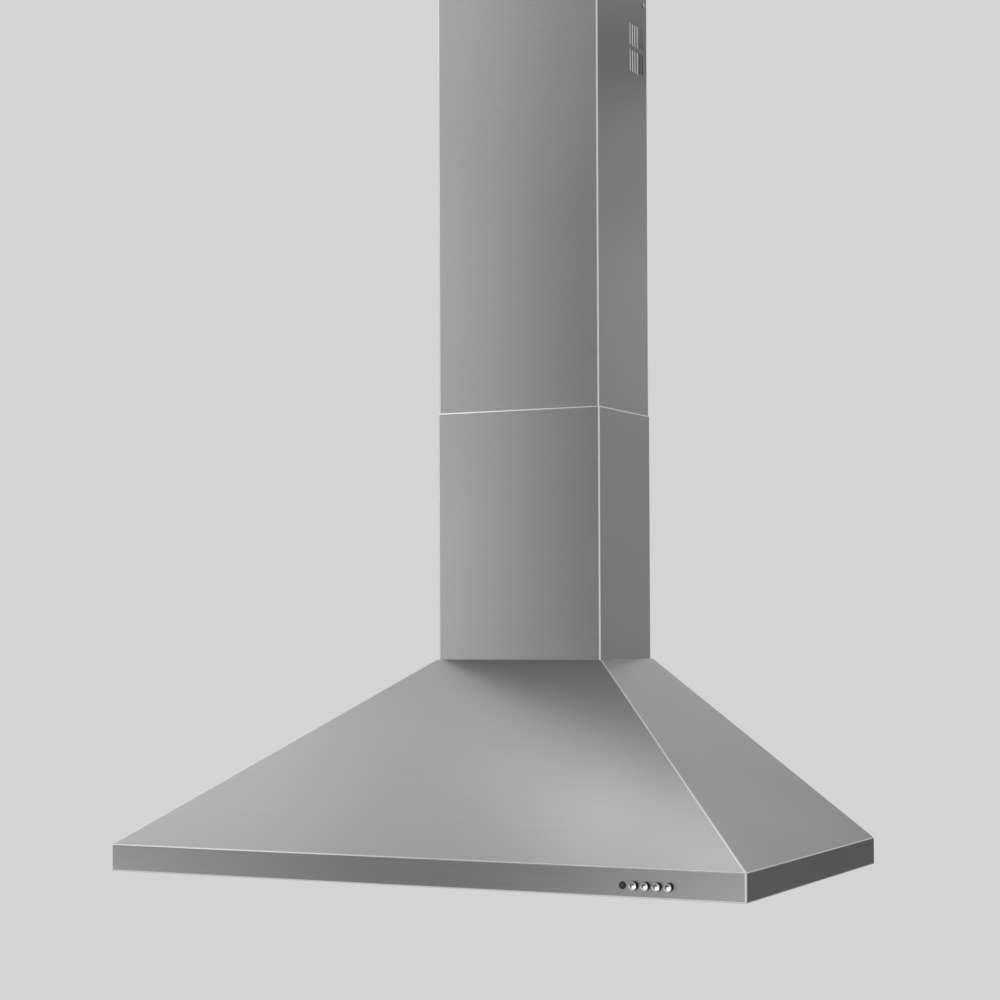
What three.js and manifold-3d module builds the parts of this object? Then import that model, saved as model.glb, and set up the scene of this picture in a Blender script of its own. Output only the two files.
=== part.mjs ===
// Wall-mounted chimney range hood: a stainless canopy shaped as a hipped pyramid on a low
// band, a two-part telescopic chimney, and inside them a twin-inlet centrifugal blower.
//
// Millimetres, +Z up, +X to the right when facing the hood, the wall is the plane Y = 0.
// Heights are first measured from the underside of the band; the last lines lower everything
// so that the origin lies on the wall, on the centre line, level with the wall screws.

import * as THREE from 'three';
import { mergeVertices } from 'three/addons/utils/BufferGeometryUtils.js';
import Module from 'manifold-3d';

// Sheet metal and clearances.
const SHEET = 0.8;                 // stainless sheet of canopy, chimney and underside
const PLATE = 1.2;                 // galvanised steel of the plates and brackets inside
const SEAT = 0.3;                  // clearance between two pieces that touch
const FOLD = 2;                    // outer radius of a fold in the visible sheet
const FOLD_STEPS = 2;              // facets in a fold
const ROUND = 20;                  // facets round a large round piece
const SMALL_ROUND = 10;            // facets round a small round piece
const SCREW_ROUND = 8;             // facets round a screw
const BORE_ROUND = 12;             // facets round a button, its bores and a keyhole
const QUARTER_TURN = 90;           // degrees
const HALF_TURN = 180;
const FULL_TURN = 360;

// Canopy.
const CANOPY_WIDTH = 900;
const CANOPY_DEPTH = 500;
const BAND_HEIGHT = 36;
const SLOPE_HEIGHT = 243;
const LIP_WIDTH = 14;              // flange turned in under the band
const LIP_RISE = 5.5;              // its upturned edge, which carries the underside panel
const TOP_FLANGE_SIDE = 28;        // flange turned in at the top of the slope, at the sides
const TOP_FLANGE_FRONT = 15;       // and at the front
const HANG_HEIGHT = 120;           // keyholes above the underside of the band
const KEYHOLE_SPACING = 260;
const KEYHOLE_HEAD = 12;           // diameter that the wall screw's head passes
const KEYHOLE_SHANK = 6;           // width of the slot above it
const KEYHOLE_RISE = 14;
const BACK_FLANGE = 14;            // flange at the foot of the back panel

// Chimney.
const CHIMNEY_WIDTH = 247;
const CHIMNEY_DEPTH = 178;
const CHIMNEY_LEDGE = 3;           // canopy top that shows outside the chimney's foot
const LOWER_HEIGHT = 345;
const UPPER_HEIGHT = 640;
const CHIMNEY_OVERLAP = 40;        // upper chimney standing inside the lower one
const CHIMNEY_LIP = 12;            // edges turned in along the wall
const TAB_REACH = 22;              // feet of the lower chimney, turned in over the canopy
const TAB_WIDTH = 20;
const SLOT_WIDTH = 4;              // vent slots of the upper chimney
const SLOT_HEIGHT = 31.5;
const SLOT_PITCH = 8.6;
const SLOT_COLUMNS = 6;
const SLOT_ROWS = 2;
const SLOT_ROW_GAP = 5.5;
const SLOT_FROM_WALL = 18;         // wall to the middle of the first slot
const SLOT_BELOW_TOP = 50;         // chimney's top edge to the top of the slots

// Ceiling bracket that holds the upper chimney.
const BRACKET_HEIGHT = 26;
const BRACKET_BELOW_TOP = 2;
const EAR_REACH = 25;              // side ears, along the chimney's walls
const EAR_HOLE_FROM_WALL = 14;
const BRACKET_NOTCH = 3;           // room under the bracket in the chimney's turned-in edges
const NUT_RADIUS = 3.8;
const NUT_HEIGHT = 3;
const BRACKET_HOLE_X = 60;         // screws that hold the bracket to the wall

// Screws.
const SCREW_RADIUS = 2;
const SCREW_HEAD = 3.6;
const SCREW_HEAD_HEIGHT = 2.2;
const SCREW_CROWN = 2.2;           // radius of the flat on the head
const SCREW_TAIL = 5;              // thread that stands past what it holds
const TOP_SCREW_INSET = 10.5;      // chimney's side to the screws that join it to the canopy
const TOP_SCREW_REAR = 40;
const TOP_SCREW_FRONT = 140;
const PLATE_MARGIN = 1.5;          // mounting plate inside the top of the slope

// Underside panel.
const PANEL_EDGE = 12;             // upturned ends
const LAMP_X = 200;
const LAMP_FROM_FRONT = 55;
const LAMP_HOLE = 30;

// Grease filters.
const FILTER_COUNT = 3;
const FILTER_HEIGHT = 9;
const FILTER_GAP = 2;              // between two filters, and behind them
const FILTER_FRONT_GAP = 1;
const FILTER_FROM_WALL = 60;       // wall to the rear edge of the filter opening
const SIDE_STRIP = 56;             // side of the canopy to the filter opening
const LAMP_STRIP = 107;            // front of the canopy to the filter opening
const RAIL_WIDTH = 12;             // folded channel round the mesh
const RAIL_CORNER = 6;
const HOOK_X = 80;                 // two tabs that hang the filter on the panel's rear edge
const HOOK_WIDTH = 24;
const HOOK_REACH = 6;
const HOOK_RAISE = 1.1;            // underside of filter to underside of hook and tongue
const HOOK_THICK = 1.2;
const MESH_COLUMNS = 5;
const MESH_ROWS = 6;
const MESH_STRAND = 7;             // width of the web between two diamonds

// Filter latches.
const LATCH_TRAVEL = 5.5;
const TONGUE_WIDTH = 16;
const SLIDER_WIDTH = 40;
const SLIDER_LENGTH = 20;
const LATCH_WIDTH = 60;
const LATCH_DEPTH = 29;
const LATCH_WALL = 1.2;
const THUMB_WIDTH = 24;            // finger recess of the slider
const THUMB_LENGTH = 6;
const THUMB_SLOPE = 2;             // its sloping sides
const THUMB_DROP = 1.5;            // its reach below the filter
const SIDE_PLAY = 0.4;             // sideways play of the slider and its tongue

// Controls.
const CONTROL_PITCH = 15;
const CONTROL_FROM_END = 157;      // right end of the band to the pilot lamp
const CONTROL_Z = 15;
const BUTTON_COUNT = 4;
const BUTTON_RADIUS = 5;
const BUTTON_PROUD = 7;
const BUTTON_CAP = 13.5;           // length of the cap
const BUTTON_TRAVEL = 3.5;
const STEM_RADIUS = 3;
const STEM_LENGTH = 11;
const EDGE_ROUND = 0.8;            // rounded front edge of button, bezel and lens
const BORE_PLAY = 0.4;             // button to its hole, all round
const BEZEL_RADIUS = 4.6;
const BEZEL_BARREL = 3.4;
const BEZEL_FLANGE = 1;
const BEZEL_LENGTH = 8;
const PILOT_RADIUS = 1.6;
const PILOT_PROUD = 0.6;
const BOX_MARGIN = 9;              // switch box beyond the outer controls
const BOX_DEPTH = 47;
const BOX_HEIGHT = 16.6;

// Lamps.
const TRIM_RADIUS = 35;
const TRIM_THICK = 1.2;
const TRIM_WINDOW = 26;
const LAMP_COLLAR_WALL = 1.5;
const LAMP_COLLAR_HEIGHT = 9;
const LENS_THICK = 2;
const LENS_CROWN = 1.2;
const LENS_FLAT = 17;              // radius of the flat middle of the lens
const LAMP_BODY_HEIGHT = 14;
const LAMP_FIN_COUNT = 10;
const LAMP_FIN_DEPTH = 4;
const LAMP_FIN_WIDTH = 3;

// Blower housing. The scroll's radius grows from SCROLL_START above the axle, forwards and
// round underneath, to SCROLL_START + SCROLL_GROWTH behind it.
const WHEEL_RADIUS = 92;
const WHEEL_HALF = 65;             // half the length of the wheel
const SCROLL_START = 99;
const SCROLL_GROWTH = 38;
const SCROLL_STEPS = 15;
const SCROLL_HALF = 70;            // inside half width
const SCROLL_WALL = 2;
const SCROLL_RIM = 8;              // flange round the joint of the two halves
const NECK_FROM_WALL = 15;         // inside of the neck's rear wall
const AXLE_DROP = 122;             // top of the scroll's neck to the axle
const INLET_RADIUS = 72;
const MOUTH_DEPTH = 4;             // bellmouth, into the scroll and out of it
const MOUTH_FLARE = 6;
const TOP_FLANGE_HALF = 80;        // flange by which the scroll hangs on the mounting plate
const TOP_FLANGE_REACH = 8;

// Wheel with forward-curved blades.
const BLADE_COUNT = 28;
const BLADE_INNER = 78;
const BLADE_THICK = 1.2;
const BLADE_SWEEP = 9;             // degrees from the blade's root to its leading tip
const BLADE_BULGE = 2.2;           // hollow of the blade
const BLADE_STEPS = 2;
const WHEEL_RING = 3;
const WHEEL_RING_WALL = 4.5;
const WHEEL_DISC = 2;
const HUB_RADIUS = 12;
const HUB_REAR = 8;
const HUB_FRONT = 14;

// Motor.
const SHAFT_RADIUS = 4;
const SHAFT_TAIL = 2;              // shaft beyond hub and motor
const MOTOR_RADIUS = 44;
const MOTOR_START = 18;
const MOTOR_SHOULDER = 30;
const MOTOR_SHOULDER_LENGTH = 10;
const MOTOR_BEVEL = 4;
const MOTOR_SLOTS = 12;            // cooling slots in the end shell
const MOTOR_SLOT_WIDTH = 4;
const MOTOR_SLOT_INNER = 33;
const MOTOR_SLOT_OUTER = 40;
const MOTOR_SLOT_DEPTH = 5;
const BRACKET_RING = 46;
const BRACKET_THICK = 2;
const BRACKET_ARMS = 3;
const BRACKET_ARM_WIDTH = 12;
const BRACKET_BOSS = 5;
const BRACKET_BOSS_AT = 86;        // distance of the bosses from the axle

// Outlet collar with its two non-return flaps.
const COLLAR_RADIUS = 75;
const COLLAR_WALL = 2.5;
const COLLAR_HEIGHT = 50;
const COLLAR_BASE = 2.5;
const LEDGE_INNER = 67;            // inner radius of the ledge on which the flaps close
const LEDGE_HEIGHT = 12.5;
const COLLAR_SCREW_X = 76;
const COLLAR_SCREW_Y = 68;
const PIN_RADIUS = 1.5;
const FLAP_THICK = 1.5;
const FLAP_PLAY = 1;               // flap to the collar's wall
const FLAP_ROOT = 4;               // pin's axis to the straight edge of the flap
const KNUCKLE_RADIUS = 3.2;
const KNUCKLE_LENGTH = 30;
const KNUCKLE_GAP = 2;
const KNUCKLE_COUNT = 4;           // every second one belongs to the other flap

// Electrical parts.
const ELEC_X = 175;
const ELEC_WIDTH = 90;
const ELEC_DEPTH = 42;
const ELEC_Z = 40;
const ELEC_HEIGHT = 80;
const ELEC_WALL = 2;
const LID_STEP = 1.5;
const CAPACITOR_RADIUS = 15;
const CAPACITOR_LENGTH = 60;
const CAPACITOR_CAP = 4;
const GLAND_RADIUS = 9;
const GLAND_BARREL = 6;
const GLAND_HEX = 5;
const GLAND_HEIGHT = 14;
const GLAND_BORE = 4;
const GROMMET_FROM_WALL = 20;
const GROMMET_HOLE = 6;
const GROMMET_RIM = 8;
const GROMMET_GAP = 1.2;           // blower's flange to the grommet
const GROMMET_BORE = 4.5;
const GROMMET_LIP = 1.5;
const LOOM_RADIUS = 3;
const LOOM_SIDES = 8;
const LOOM_STEPS = 44;
const LOOM_BEND = 26;              // corner of its route to the ends of the bend
const LOOM_LEAD = 50;              // level run into the electrics box

// Places worked out from the sizes above.
const TOP_Z = BAND_HEIGHT + SLOPE_HEIGHT;
const HALF = CANOPY_WIDTH / 2;
const TOP_HALF = CHIMNEY_WIDTH / 2 + CHIMNEY_LEDGE;
const TOP_DEPTH = CHIMNEY_DEPTH + CHIMNEY_LEDGE;
const TOP_SCREW_X = CHIMNEY_WIDTH / 2 - TOP_SCREW_INSET;
const GROMMET_X = TOP_FLANGE_HALF + GROMMET_RIM + GROMMET_GAP;
const FILTER_GAPS = (FILTER_COUNT + 1) * FILTER_GAP;
const FILTER_WIDTH = (CANOPY_WIDTH - 2 * SIDE_STRIP - FILTER_GAPS) / FILTER_COUNT;
const OPENING_HALF = HALF - SIDE_STRIP;
const OPENING_DEPTH = CANOPY_DEPTH - FILTER_FROM_WALL - LAMP_STRIP;
const FILTER_DEPTH = OPENING_DEPTH - FILTER_GAP - FILTER_FRONT_GAP;
const PANEL_Z = LIP_RISE + SEAT;
const FLOOR_Z = PANEL_Z + SHEET + SEAT;                 // what stands on the underside panel
const PLATE_TOP = TOP_Z - SHEET - SEAT;
const PLATE_Z = PLATE_TOP - PLATE;
const INSET = SHEET + SEAT;                             // inside face of the casing, with its gap
const BACK_Y = -(PLATE + SEAT);                         // what stands against the back panel
const LOWER_Z = TOP_Z + SEAT;
const UPPER_Z = LOWER_Z + LOWER_HEIGHT - CHIMNEY_OVERLAP;
const UPPER_TOP = UPPER_Z + UPPER_HEIGHT;
const AXLE_Y = -(NECK_FROM_WALL + SCROLL_START + SCROLL_GROWTH);
const SCROLL_TOP = PLATE_Z - SEAT;
const AXLE_Z = SCROLL_TOP - AXLE_DROP;
const MOTOR_END = SCROLL_HALF + MOUTH_FLARE;
const SHOULDER_END = MOTOR_END + MOTOR_SHOULDER_LENGTH;
const NECK_Y = AXLE_Y / 2 - NECK_FROM_WALL / 2;         // middle of the neck and of the collar
const COLLAR_Z = PLATE_TOP + SEAT;
const PIN_Z = COLLAR_Z + LEDGE_HEIGHT + SEAT + FLAP_THICK / 2;

const wasm = await Module();
wasm.setup();

// ---------------------------------------------------------------- materials

function finish(color, roughness, metalness) {
  return new THREE.MeshStandardMaterial({ color, roughness, metalness });
}

const brushedSteel = finish('#a9a9a8', 0.38, 1);
const galvanised = finish('#9aa0a3', 0.5, 1);
const zincScrew = finish('#b9bcbe', 0.35, 1);
const aluminium = finish('#c2c4c5', 0.42, 1);
const chrome = finish('#d8d9da', 0.12, 1);
const darkPlastic = finish('#2b2c2e', 0.55, 0);
const greyPlastic = finish('#6f7275', 0.55, 0);
const whitePlastic = finish('#d9dadb', 0.5, 0);
const rubber = finish('#1d1d1e', 0.8, 0);
const lampGlass = finish('#eef0ee', 0.25, 0);
const pilotGlass = finish('#8f9290', 0.2, 0);

// ---------------------------------------------------------------- solids

// A closed three.js geometry as a solid that can be cut and joined.
function solidOf(geometry) {
  geometry.deleteAttribute('normal');
  geometry.deleteAttribute('uv');
  const merged = mergeVertices(geometry, 1e-4);
  const position = merged.attributes.position;
  const index = merged.index.array;
  const [a, b, c] = [new THREE.Vector3(), new THREE.Vector3(), new THREE.Vector3()];
  const corners = [];
  let volume = 0;
  for (let i = 0; i < index.length; i += 3) {
    const [i0, i1, i2] = index.slice(i, i + 3);
    if (i0 === i1 || i1 === i2 || i2 === i0) continue;
    a.fromBufferAttribute(position, i0);
    b.fromBufferAttribute(position, i1);
    c.fromBufferAttribute(position, i2);
    volume += a.dot(b.cross(c));
    corners.push(i0, i1, i2);
  }
  if (volume < 0) corners.reverse();
  const mesh = new wasm.Mesh({
    numProp: 3,
    vertProperties: new Float32Array(position.array),
    triVerts: new Uint32Array(corners),
  });
  return new wasm.Manifold(mesh);
}

function geometryOf(solid) {
  const mesh = solid.getMesh();
  const geometry = new THREE.BufferGeometry();
  geometry.setAttribute('position', new THREE.BufferAttribute(mesh.vertProperties, 3));
  geometry.setIndex(new THREE.BufferAttribute(mesh.triVerts, 1));
  geometry.computeVertexNormals();
  return geometry;
}

const join = (first, ...others) => others.reduce((sum, solid) => sum.add(solid), first);
const cut = (first, ...others) => others.reduce((rest, solid) => rest.subtract(solid), first);

function piece(parent, name, solid, material) {
  const mesh = new THREE.Mesh(geometryOf(solid), material);
  mesh.name = name;
  parent.add(mesh);
  return mesh;
}

function group(parent, x = 0, y = 0, z = 0) {
  const made = new THREE.Group();
  made.position.set(x, y, z);
  parent.add(made);
  return made;
}

// A block from its extent along each axis.
function block([x0, x1], [y0, y1], [z0, z1]) {
  const box = new THREE.BoxGeometry(x1 - x0, y1 - y0, z1 - z0);
  box.translate((x0 + x1) / 2, (y0 + y1) / 2, (z0 + z1) / 2);
  return solidOf(box);
}

const X = new THREE.Vector3(1, 0, 0);
const Y = new THREE.Vector3(0, 1, 0);
const Z = new THREE.Vector3(0, 0, 1);
// For each axis, the directions of an outline's two coordinates and of its depth.
const FRAMES = { x: [Y, Z, X], y: [X, Z, Y], z: [X, Y, Z] };

// An outline [u, v] drawn across an axis and extruded along it.
function prism(points, axis, from, to) {
  const shape = new THREE.Shape(points.map(([u, v]) => new THREE.Vector2(u, v)));
  const geometry = new THREE.ExtrudeGeometry(shape, { depth: to - from, bevelEnabled: false });
  geometry.translate(0, 0, from);
  geometry.applyMatrix4(new THREE.Matrix4().makeBasis(...FRAMES[axis]));
  return solidOf(geometry);
}

// Points of an arc, from one angle to another in degrees.
function arc(u, v, radius, from, to, steps) {
  const points = [];
  for (let i = 0; i <= steps; i++) {
    const angle = THREE.MathUtils.degToRad(from + (to - from) * i / steps);
    points.push([u + radius * Math.cos(angle), v + radius * Math.sin(angle)]);
  }
  return points;
}

const circle = (u, v, radius, sides) => arc(u, v, radius, 0, FULL_TURN - FULL_TURN / sides, sides - 1);

// A round rod along an axis, its centre given across that axis.
function rod(axis, centre, radius, from, to, sides = SMALL_ROUND) {
  return prism(circle(...centre, radius, sides), axis, from, to);
}

// A closed profile [radius, height] turned about an axis through a centre.
function turned(profile, axis, [u, v] = [0, 0], sides = ROUND) {
  const points = profile.map(([radius, height]) => new THREE.Vector2(radius, height));
  const closed = profile[0][0] === 0 ? points : [...points, points[0].clone()];
  const geometry = new THREE.LatheGeometry(closed, sides);
  geometry.rotateX(Math.PI / 2);
  geometry.applyMatrix4(new THREE.Matrix4().makeBasis(...FRAMES[axis]));
  const [du, dv] = FRAMES[axis];
  const shift = du.clone().multiplyScalar(u).addScaledVector(dv, v);
  geometry.translate(...shift);
  return solidOf(geometry);
}

// The corners [u, v, radius] of a closed outline, with each radius drawn as an arc.
function rounded(corners, steps = FOLD_STEPS) {
  const points = [];
  corners.forEach(([u, v, radius = 0], i) => {
    const here = new THREE.Vector2(u, v);
    const [bu, bv] = corners[(i + corners.length - 1) % corners.length];
    const [nu, nv] = corners[(i + 1) % corners.length];
    const back = new THREE.Vector2(bu, bv).sub(here).normalize();
    const on = new THREE.Vector2(nu, nv).sub(here).normalize();
    const half = Math.acos(THREE.MathUtils.clamp(back.dot(on), -1, 1)) / 2;
    if (radius <= 0 || half > Math.PI / 2 - 1e-6) {
      points.push([u, v]);
      return;
    }
    const middle = back.clone().add(on).normalize();
    const centre = here.clone().addScaledVector(middle, radius / Math.sin(half));
    const start = here.clone().addScaledVector(back, radius / Math.tan(half)).sub(centre);
    const turn = Math.PI - 2 * half;
    const way = Math.sign(back.cross(on)) || 1;
    for (let k = 0; k <= steps; k++) {
      const point = start.clone().rotateAround(new THREE.Vector2(), -way * turn * k / steps);
      points.push([centre.x + point.x, centre.y + point.y]);
    }
  });
  return points;
}

// A rounded rectangle from its extent along each coordinate.
function panel([u0, u1], [v0, v1], radius, steps = FOLD_STEPS) {
  return rounded([[u0, v0, radius], [u1, v0, radius], [u1, v1, radius], [u0, v1, radius]], steps);
}

const mirrorX = (points) => points.map(([u, v]) => [-u, v]).reverse();
const both = (make) => [-1, 1].map((side) => make(side));

// ---------------------------------------------------------------- fasteners

// A pan-head screw along an axis: its head's underside at `seat`, its thread towards `tip`.
function screw(axis, centre, seat, tip) {
  const way = Math.sign(tip - seat);
  const profile = [
    [0, -SCREW_HEAD_HEIGHT],
    [SCREW_CROWN, -SCREW_HEAD_HEIGHT],
    [SCREW_HEAD, -SCREW_HEAD_HEIGHT / 2],
    [SCREW_HEAD, 0],
    [SCREW_RADIUS, 0],
    [SCREW_RADIUS, Math.abs(tip - seat)],
    [0, Math.abs(tip - seat)],
  ];
  return turned(profile.map(([r, h]) => [r, seat + way * h]), axis, centre, SCREW_ROUND);
}

// The hole for a screw, between two heights along its axis.
const screwHole = (axis, centre, from, to) => rod(axis, centre, SCREW_RADIUS + SEAT, from, to);

// ---------------------------------------------------------------- canopy

// Section through the canopy's sheet as [inset, height], for a slope that runs in by `run`.
function canopySection(run, flange) {
  const slope = Math.hypot(run, SLOPE_HEIGHT);
  const bandInside = BAND_HEIGHT + SHEET * (SLOPE_HEIGHT - slope) / run;
  const topInside = run + SHEET * (slope - run) / SLOPE_HEIGHT;
  const inner = FOLD - SHEET;
  const outside = rounded([
    [LIP_WIDTH, LIP_RISE],
    [LIP_WIDTH, 0, FOLD],
    [0, 0, FOLD],
    [0, BAND_HEIGHT, FOLD],
    [run, TOP_Z, FOLD],
    [run + flange, TOP_Z],
  ]);
  const inside = rounded([
    [LIP_WIDTH - SHEET, LIP_RISE],
    [LIP_WIDTH - SHEET, SHEET, inner],
    [SHEET, SHEET, inner],
    [SHEET, bandInside, inner],
    [topInside, TOP_Z - SHEET, inner],
    [run + flange, TOP_Z - SHEET],
  ]);
  const radii = [...outside.map(() => FOLD), ...inside.map(() => inner)];
  return { points: [...outside, ...inside.reverse()], radii };
}

// Rings of one closed section, joined side to side and capped at both ends.
function skin(rings, face) {
  const contour = face.map(([u, v]) => new THREE.Vector2(u, v));
  const forward = THREE.ShapeUtils.isClockWise(contour) ? -1 : 1;
  const loops = forward < 0 ? rings.map((ring) => [...ring].reverse()) : rings;
  if (forward < 0) contour.reverse();
  const count = contour.length;
  const index = [];
  for (let r = 0; r + 1 < loops.length; r++) {
    for (let i = 0; i < count; i++) {
      const a = r * count + i;
      const b = r * count + (i + 1) % count;
      index.push(a, b, b + count, a, b + count, a + count);
    }
  }
  const last = (loops.length - 1) * count;
  for (const [a, b, c] of THREE.ShapeUtils.triangulateShape(contour, [])) {
    index.push(c, b, a, last + a, last + b, last + c);
  }
  const geometry = new THREE.BufferGeometry();
  geometry.setAttribute('position', new THREE.Float32BufferAttribute(loops.flat(2), 3));
  geometry.setIndex(index);
  return solidOf(geometry);
}

// The canopy's sheet runs from the wall along the right side, the front and the left side.
function canopyRings() {
  const side = canopySection(HALF - TOP_HALF, TOP_FLANGE_SIDE);
  const front = canopySection(CANOPY_DEPTH - TOP_DEPTH, TOP_FLANGE_FRONT);
  const place = (turn) => side.points.map(([inset, z], i) => {
    const radius = side.radii[i];
    const x = HALF - inset - radius * (1 - Math.cos(turn));
    const y = CANOPY_DEPTH - front.points[i][0] - radius * (1 - Math.sin(turn));
    return [x, -y, z];
  });
  const corner = [];
  for (let i = 0; i <= FOLD_STEPS; i++) corner.push(place(Math.PI / 2 * i / FOLD_STEPS));
  const wall = side.points.map(([inset, z]) => [HALF - inset, 0, z]);
  const right = [wall, ...corner];
  const left = right.map((ring) => ring.map(([x, y, z]) => [-x, y, z])).reverse();
  return { rings: [...right, ...left], face: side.points };
}

const controlX = (place) => HALF - CONTROL_FROM_END + place * CONTROL_PITCH;
const FRONT_Y = -CANOPY_DEPTH;

function makeCanopy(parent) {
  const { rings, face } = canopyRings();
  const bandWall = [FRONT_Y - SHEET, FRONT_Y + 2 * SHEET];
  const holes = [rod('y', [controlX(0), CONTROL_Z], BEZEL_BARREL + SEAT, ...bandWall)];
  for (let i = 1; i <= BUTTON_COUNT; i++) {
    const centre = [controlX(i), CONTROL_Z];
    holes.push(rod('y', centre, BUTTON_RADIUS + BORE_PLAY, ...bandWall, BORE_ROUND));
  }
  for (const [x, y] of topScrews()) {
    holes.push(screwHole('z', [x, y], TOP_Z - 2 * SHEET, TOP_Z + SHEET));
  }
  const cable = [GROMMET_X, -GROMMET_FROM_WALL];
  holes.push(rod('z', cable, GROMMET_RIM + SEAT, TOP_Z - 2 * SHEET, TOP_Z + SHEET));
  piece(parent, 'canopy_shell', cut(skin(rings, face), ...holes), brushedSteel);
}

// The panel on the wall: it closes the canopy's rear and carries the hood on two wall screws.
function makeBackPanel(parent) {
  const run = HALF - TOP_HALF;
  const slope = Math.hypot(run, SLOPE_HEIGHT);
  const outline = [
    [HALF - LIP_WIDTH - SEAT, 0],
    [HALF - LIP_WIDTH - SEAT, PANEL_Z],
    [HALF - INSET, PANEL_Z],
    [HALF - INSET, BAND_HEIGHT + INSET * (SLOPE_HEIGHT - slope) / run],
    [TOP_HALF - INSET * (slope - run) / SLOPE_HEIGHT, TOP_Z - INSET],
  ];
  const sheet = prism([...outline, ...mirrorX(outline)], 'y', -PLATE, 0);
  const foot = [
    [0, 0],
    [0, PLATE],
    [PLATE - BACK_FLANGE, PLATE],
    [PLATE - BACK_FLANGE, LIP_RISE],
    [-BACK_FLANGE, LIP_RISE],
    [-BACK_FLANGE, 0],
  ];
  const flange = prism(foot, 'x', LIP_WIDTH + SEAT - HALF, HALF - LIP_WIDTH - SEAT);
  const keyholes = both((side) => {
    const x = side * KEYHOLE_SPACING / 2;
    const shank = KEYHOLE_SHANK / 2;
    const slotTop = HANG_HEIGHT + KEYHOLE_RISE;
    const head = rod('y', [x, HANG_HEIGHT], KEYHOLE_HEAD / 2, -2 * PLATE, PLATE, BORE_ROUND);
    const slot = block([x - shank, x + shank], [-2 * PLATE, PLATE], [HANG_HEIGHT, slotTop]);
    return join(head, slot, rod('y', [x, slotTop], shank, -2 * PLATE, PLATE));
  });
  piece(parent, 'back_panel', cut(join(sheet, flange), ...keyholes), galvanised);
}

const LAMP_Y = FRONT_Y + LAMP_FROM_FRONT;

function makeUndersidePanel(parent) {
  const half = HALF - INSET;
  const front = FRONT_Y + INSET;
  const sheetZ = [PANEL_Z, PANEL_Z + SHEET];
  const sheet = prism(
    rounded([[-half, front, FOLD], [half, front, FOLD], [half, BACK_Y], [-half, BACK_Y]]),
    'z', ...sheetZ,
  );
  const edges = both((side) => block(
    side > 0 ? [half - SHEET, half] : [-half, SHEET - half],
    [front + FOLD, BACK_Y],
    [PANEL_Z, PANEL_Z + PANEL_EDGE],
  ));
  const through = [PANEL_Z - SHEET, PANEL_Z + 2 * SHEET];
  const opening = block(
    [-OPENING_HALF, OPENING_HALF],
    [-FILTER_FROM_WALL - OPENING_DEPTH, -FILTER_FROM_WALL],
    through,
  );
  const lampHoles = both((side) => rod('z', [side * LAMP_X, LAMP_Y], LAMP_HOLE, ...through, ROUND));
  const solid = cut(join(sheet, ...edges), opening, ...lampHoles);
  piece(parent, 'underside_panel', solid, brushedSteel);
}

// ---------------------------------------------------------------- chimney

function topScrews() {
  const rows = [-TOP_SCREW_REAR, -TOP_SCREW_FRONT];
  return rows.flatMap((y) => both((side) => [side * TOP_SCREW_X, y]));
}

function collarScrews() {
  const rows = [NECK_Y + COLLAR_SCREW_Y, NECK_Y - COLLAR_SCREW_Y];
  return rows.flatMap((y) => both((side) => [side * COLLAR_SCREW_X, y]));
}

// The plate under the canopy's top, from which the blower hangs.
function makeMountingPlate(parent) {
  const half = TOP_HALF - PLATE_MARGIN;
  const heights = [PLATE_Z, PLATE_TOP];
  const through = [PLATE_Z - PLATE, PLATE_TOP + PLATE];
  const sheet = prism(panel([-half, half], [PLATE_MARGIN - TOP_DEPTH, BACK_Y], FOLD), 'z', ...heights);
  const neck = block([-SCROLL_HALF, SCROLL_HALF], [AXLE_Y, -NECK_FROM_WALL], through);
  const screws = [...topScrews(), ...collarScrews()].map((at) => screwHole('z', at, ...through));
  const cable = rod('z', [GROMMET_X, -GROMMET_FROM_WALL], GROMMET_HOLE, ...through, SMALL_ROUND);
  piece(parent, 'mounting_plate', cut(sheet, neck, ...screws, cable), galvanised);
}

// Plan of a chimney: a folded sheet, open to the wall, with its rear edges turned in.
function chimneyPlan(half, front, rear) {
  const inner = FOLD - SHEET;
  const outside = rounded([
    [CHIMNEY_LIP - half, rear],
    [-half, rear, FOLD],
    [-half, front, FOLD],
    [half, front, FOLD],
    [half, rear, FOLD],
    [half - CHIMNEY_LIP, rear],
  ]);
  const inside = rounded([
    [CHIMNEY_LIP - half, rear - SHEET],
    [SHEET - half, rear - SHEET, inner],
    [SHEET - half, front + SHEET, inner],
    [half - SHEET, front + SHEET, inner],
    [half - SHEET, rear - SHEET, inner],
    [half - CHIMNEY_LIP, rear - SHEET],
  ]);
  return [...outside, ...inside.reverse()];
}

function makeLowerChimney(parent) {
  const half = CHIMNEY_WIDTH / 2;
  const casing = prism(chimneyPlan(half, -CHIMNEY_DEPTH, 0), 'z', LOWER_Z, LOWER_Z + LOWER_HEIGHT);
  const tabs = topScrews().map(([x, y]) => {
    const reach = x > 0 ? [half - SHEET / 2 - TAB_REACH, half - SHEET / 2]
      : [SHEET / 2 - half, SHEET / 2 - half + TAB_REACH];
    return block(reach, [y - TAB_WIDTH / 2, y + TAB_WIDTH / 2], [LOWER_Z, LOWER_Z + SHEET]);
  });
  const holes = topScrews().map((at) => screwHole('z', at, LOWER_Z - SHEET, LOWER_Z + 2 * SHEET));
  piece(parent, 'lower_chimney', cut(join(casing, ...tabs), ...holes), brushedSteel);
}

const UPPER_HALF = CHIMNEY_WIDTH / 2 - INSET;
const BRACKET_TOP = UPPER_TOP - BRACKET_BELOW_TOP;
const BRACKET_Z = BRACKET_TOP - BRACKET_HEIGHT;
const BRACKET_SCREW = [-EAR_HOLE_FROM_WALL, BRACKET_Z + BRACKET_HEIGHT / 2];

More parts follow.
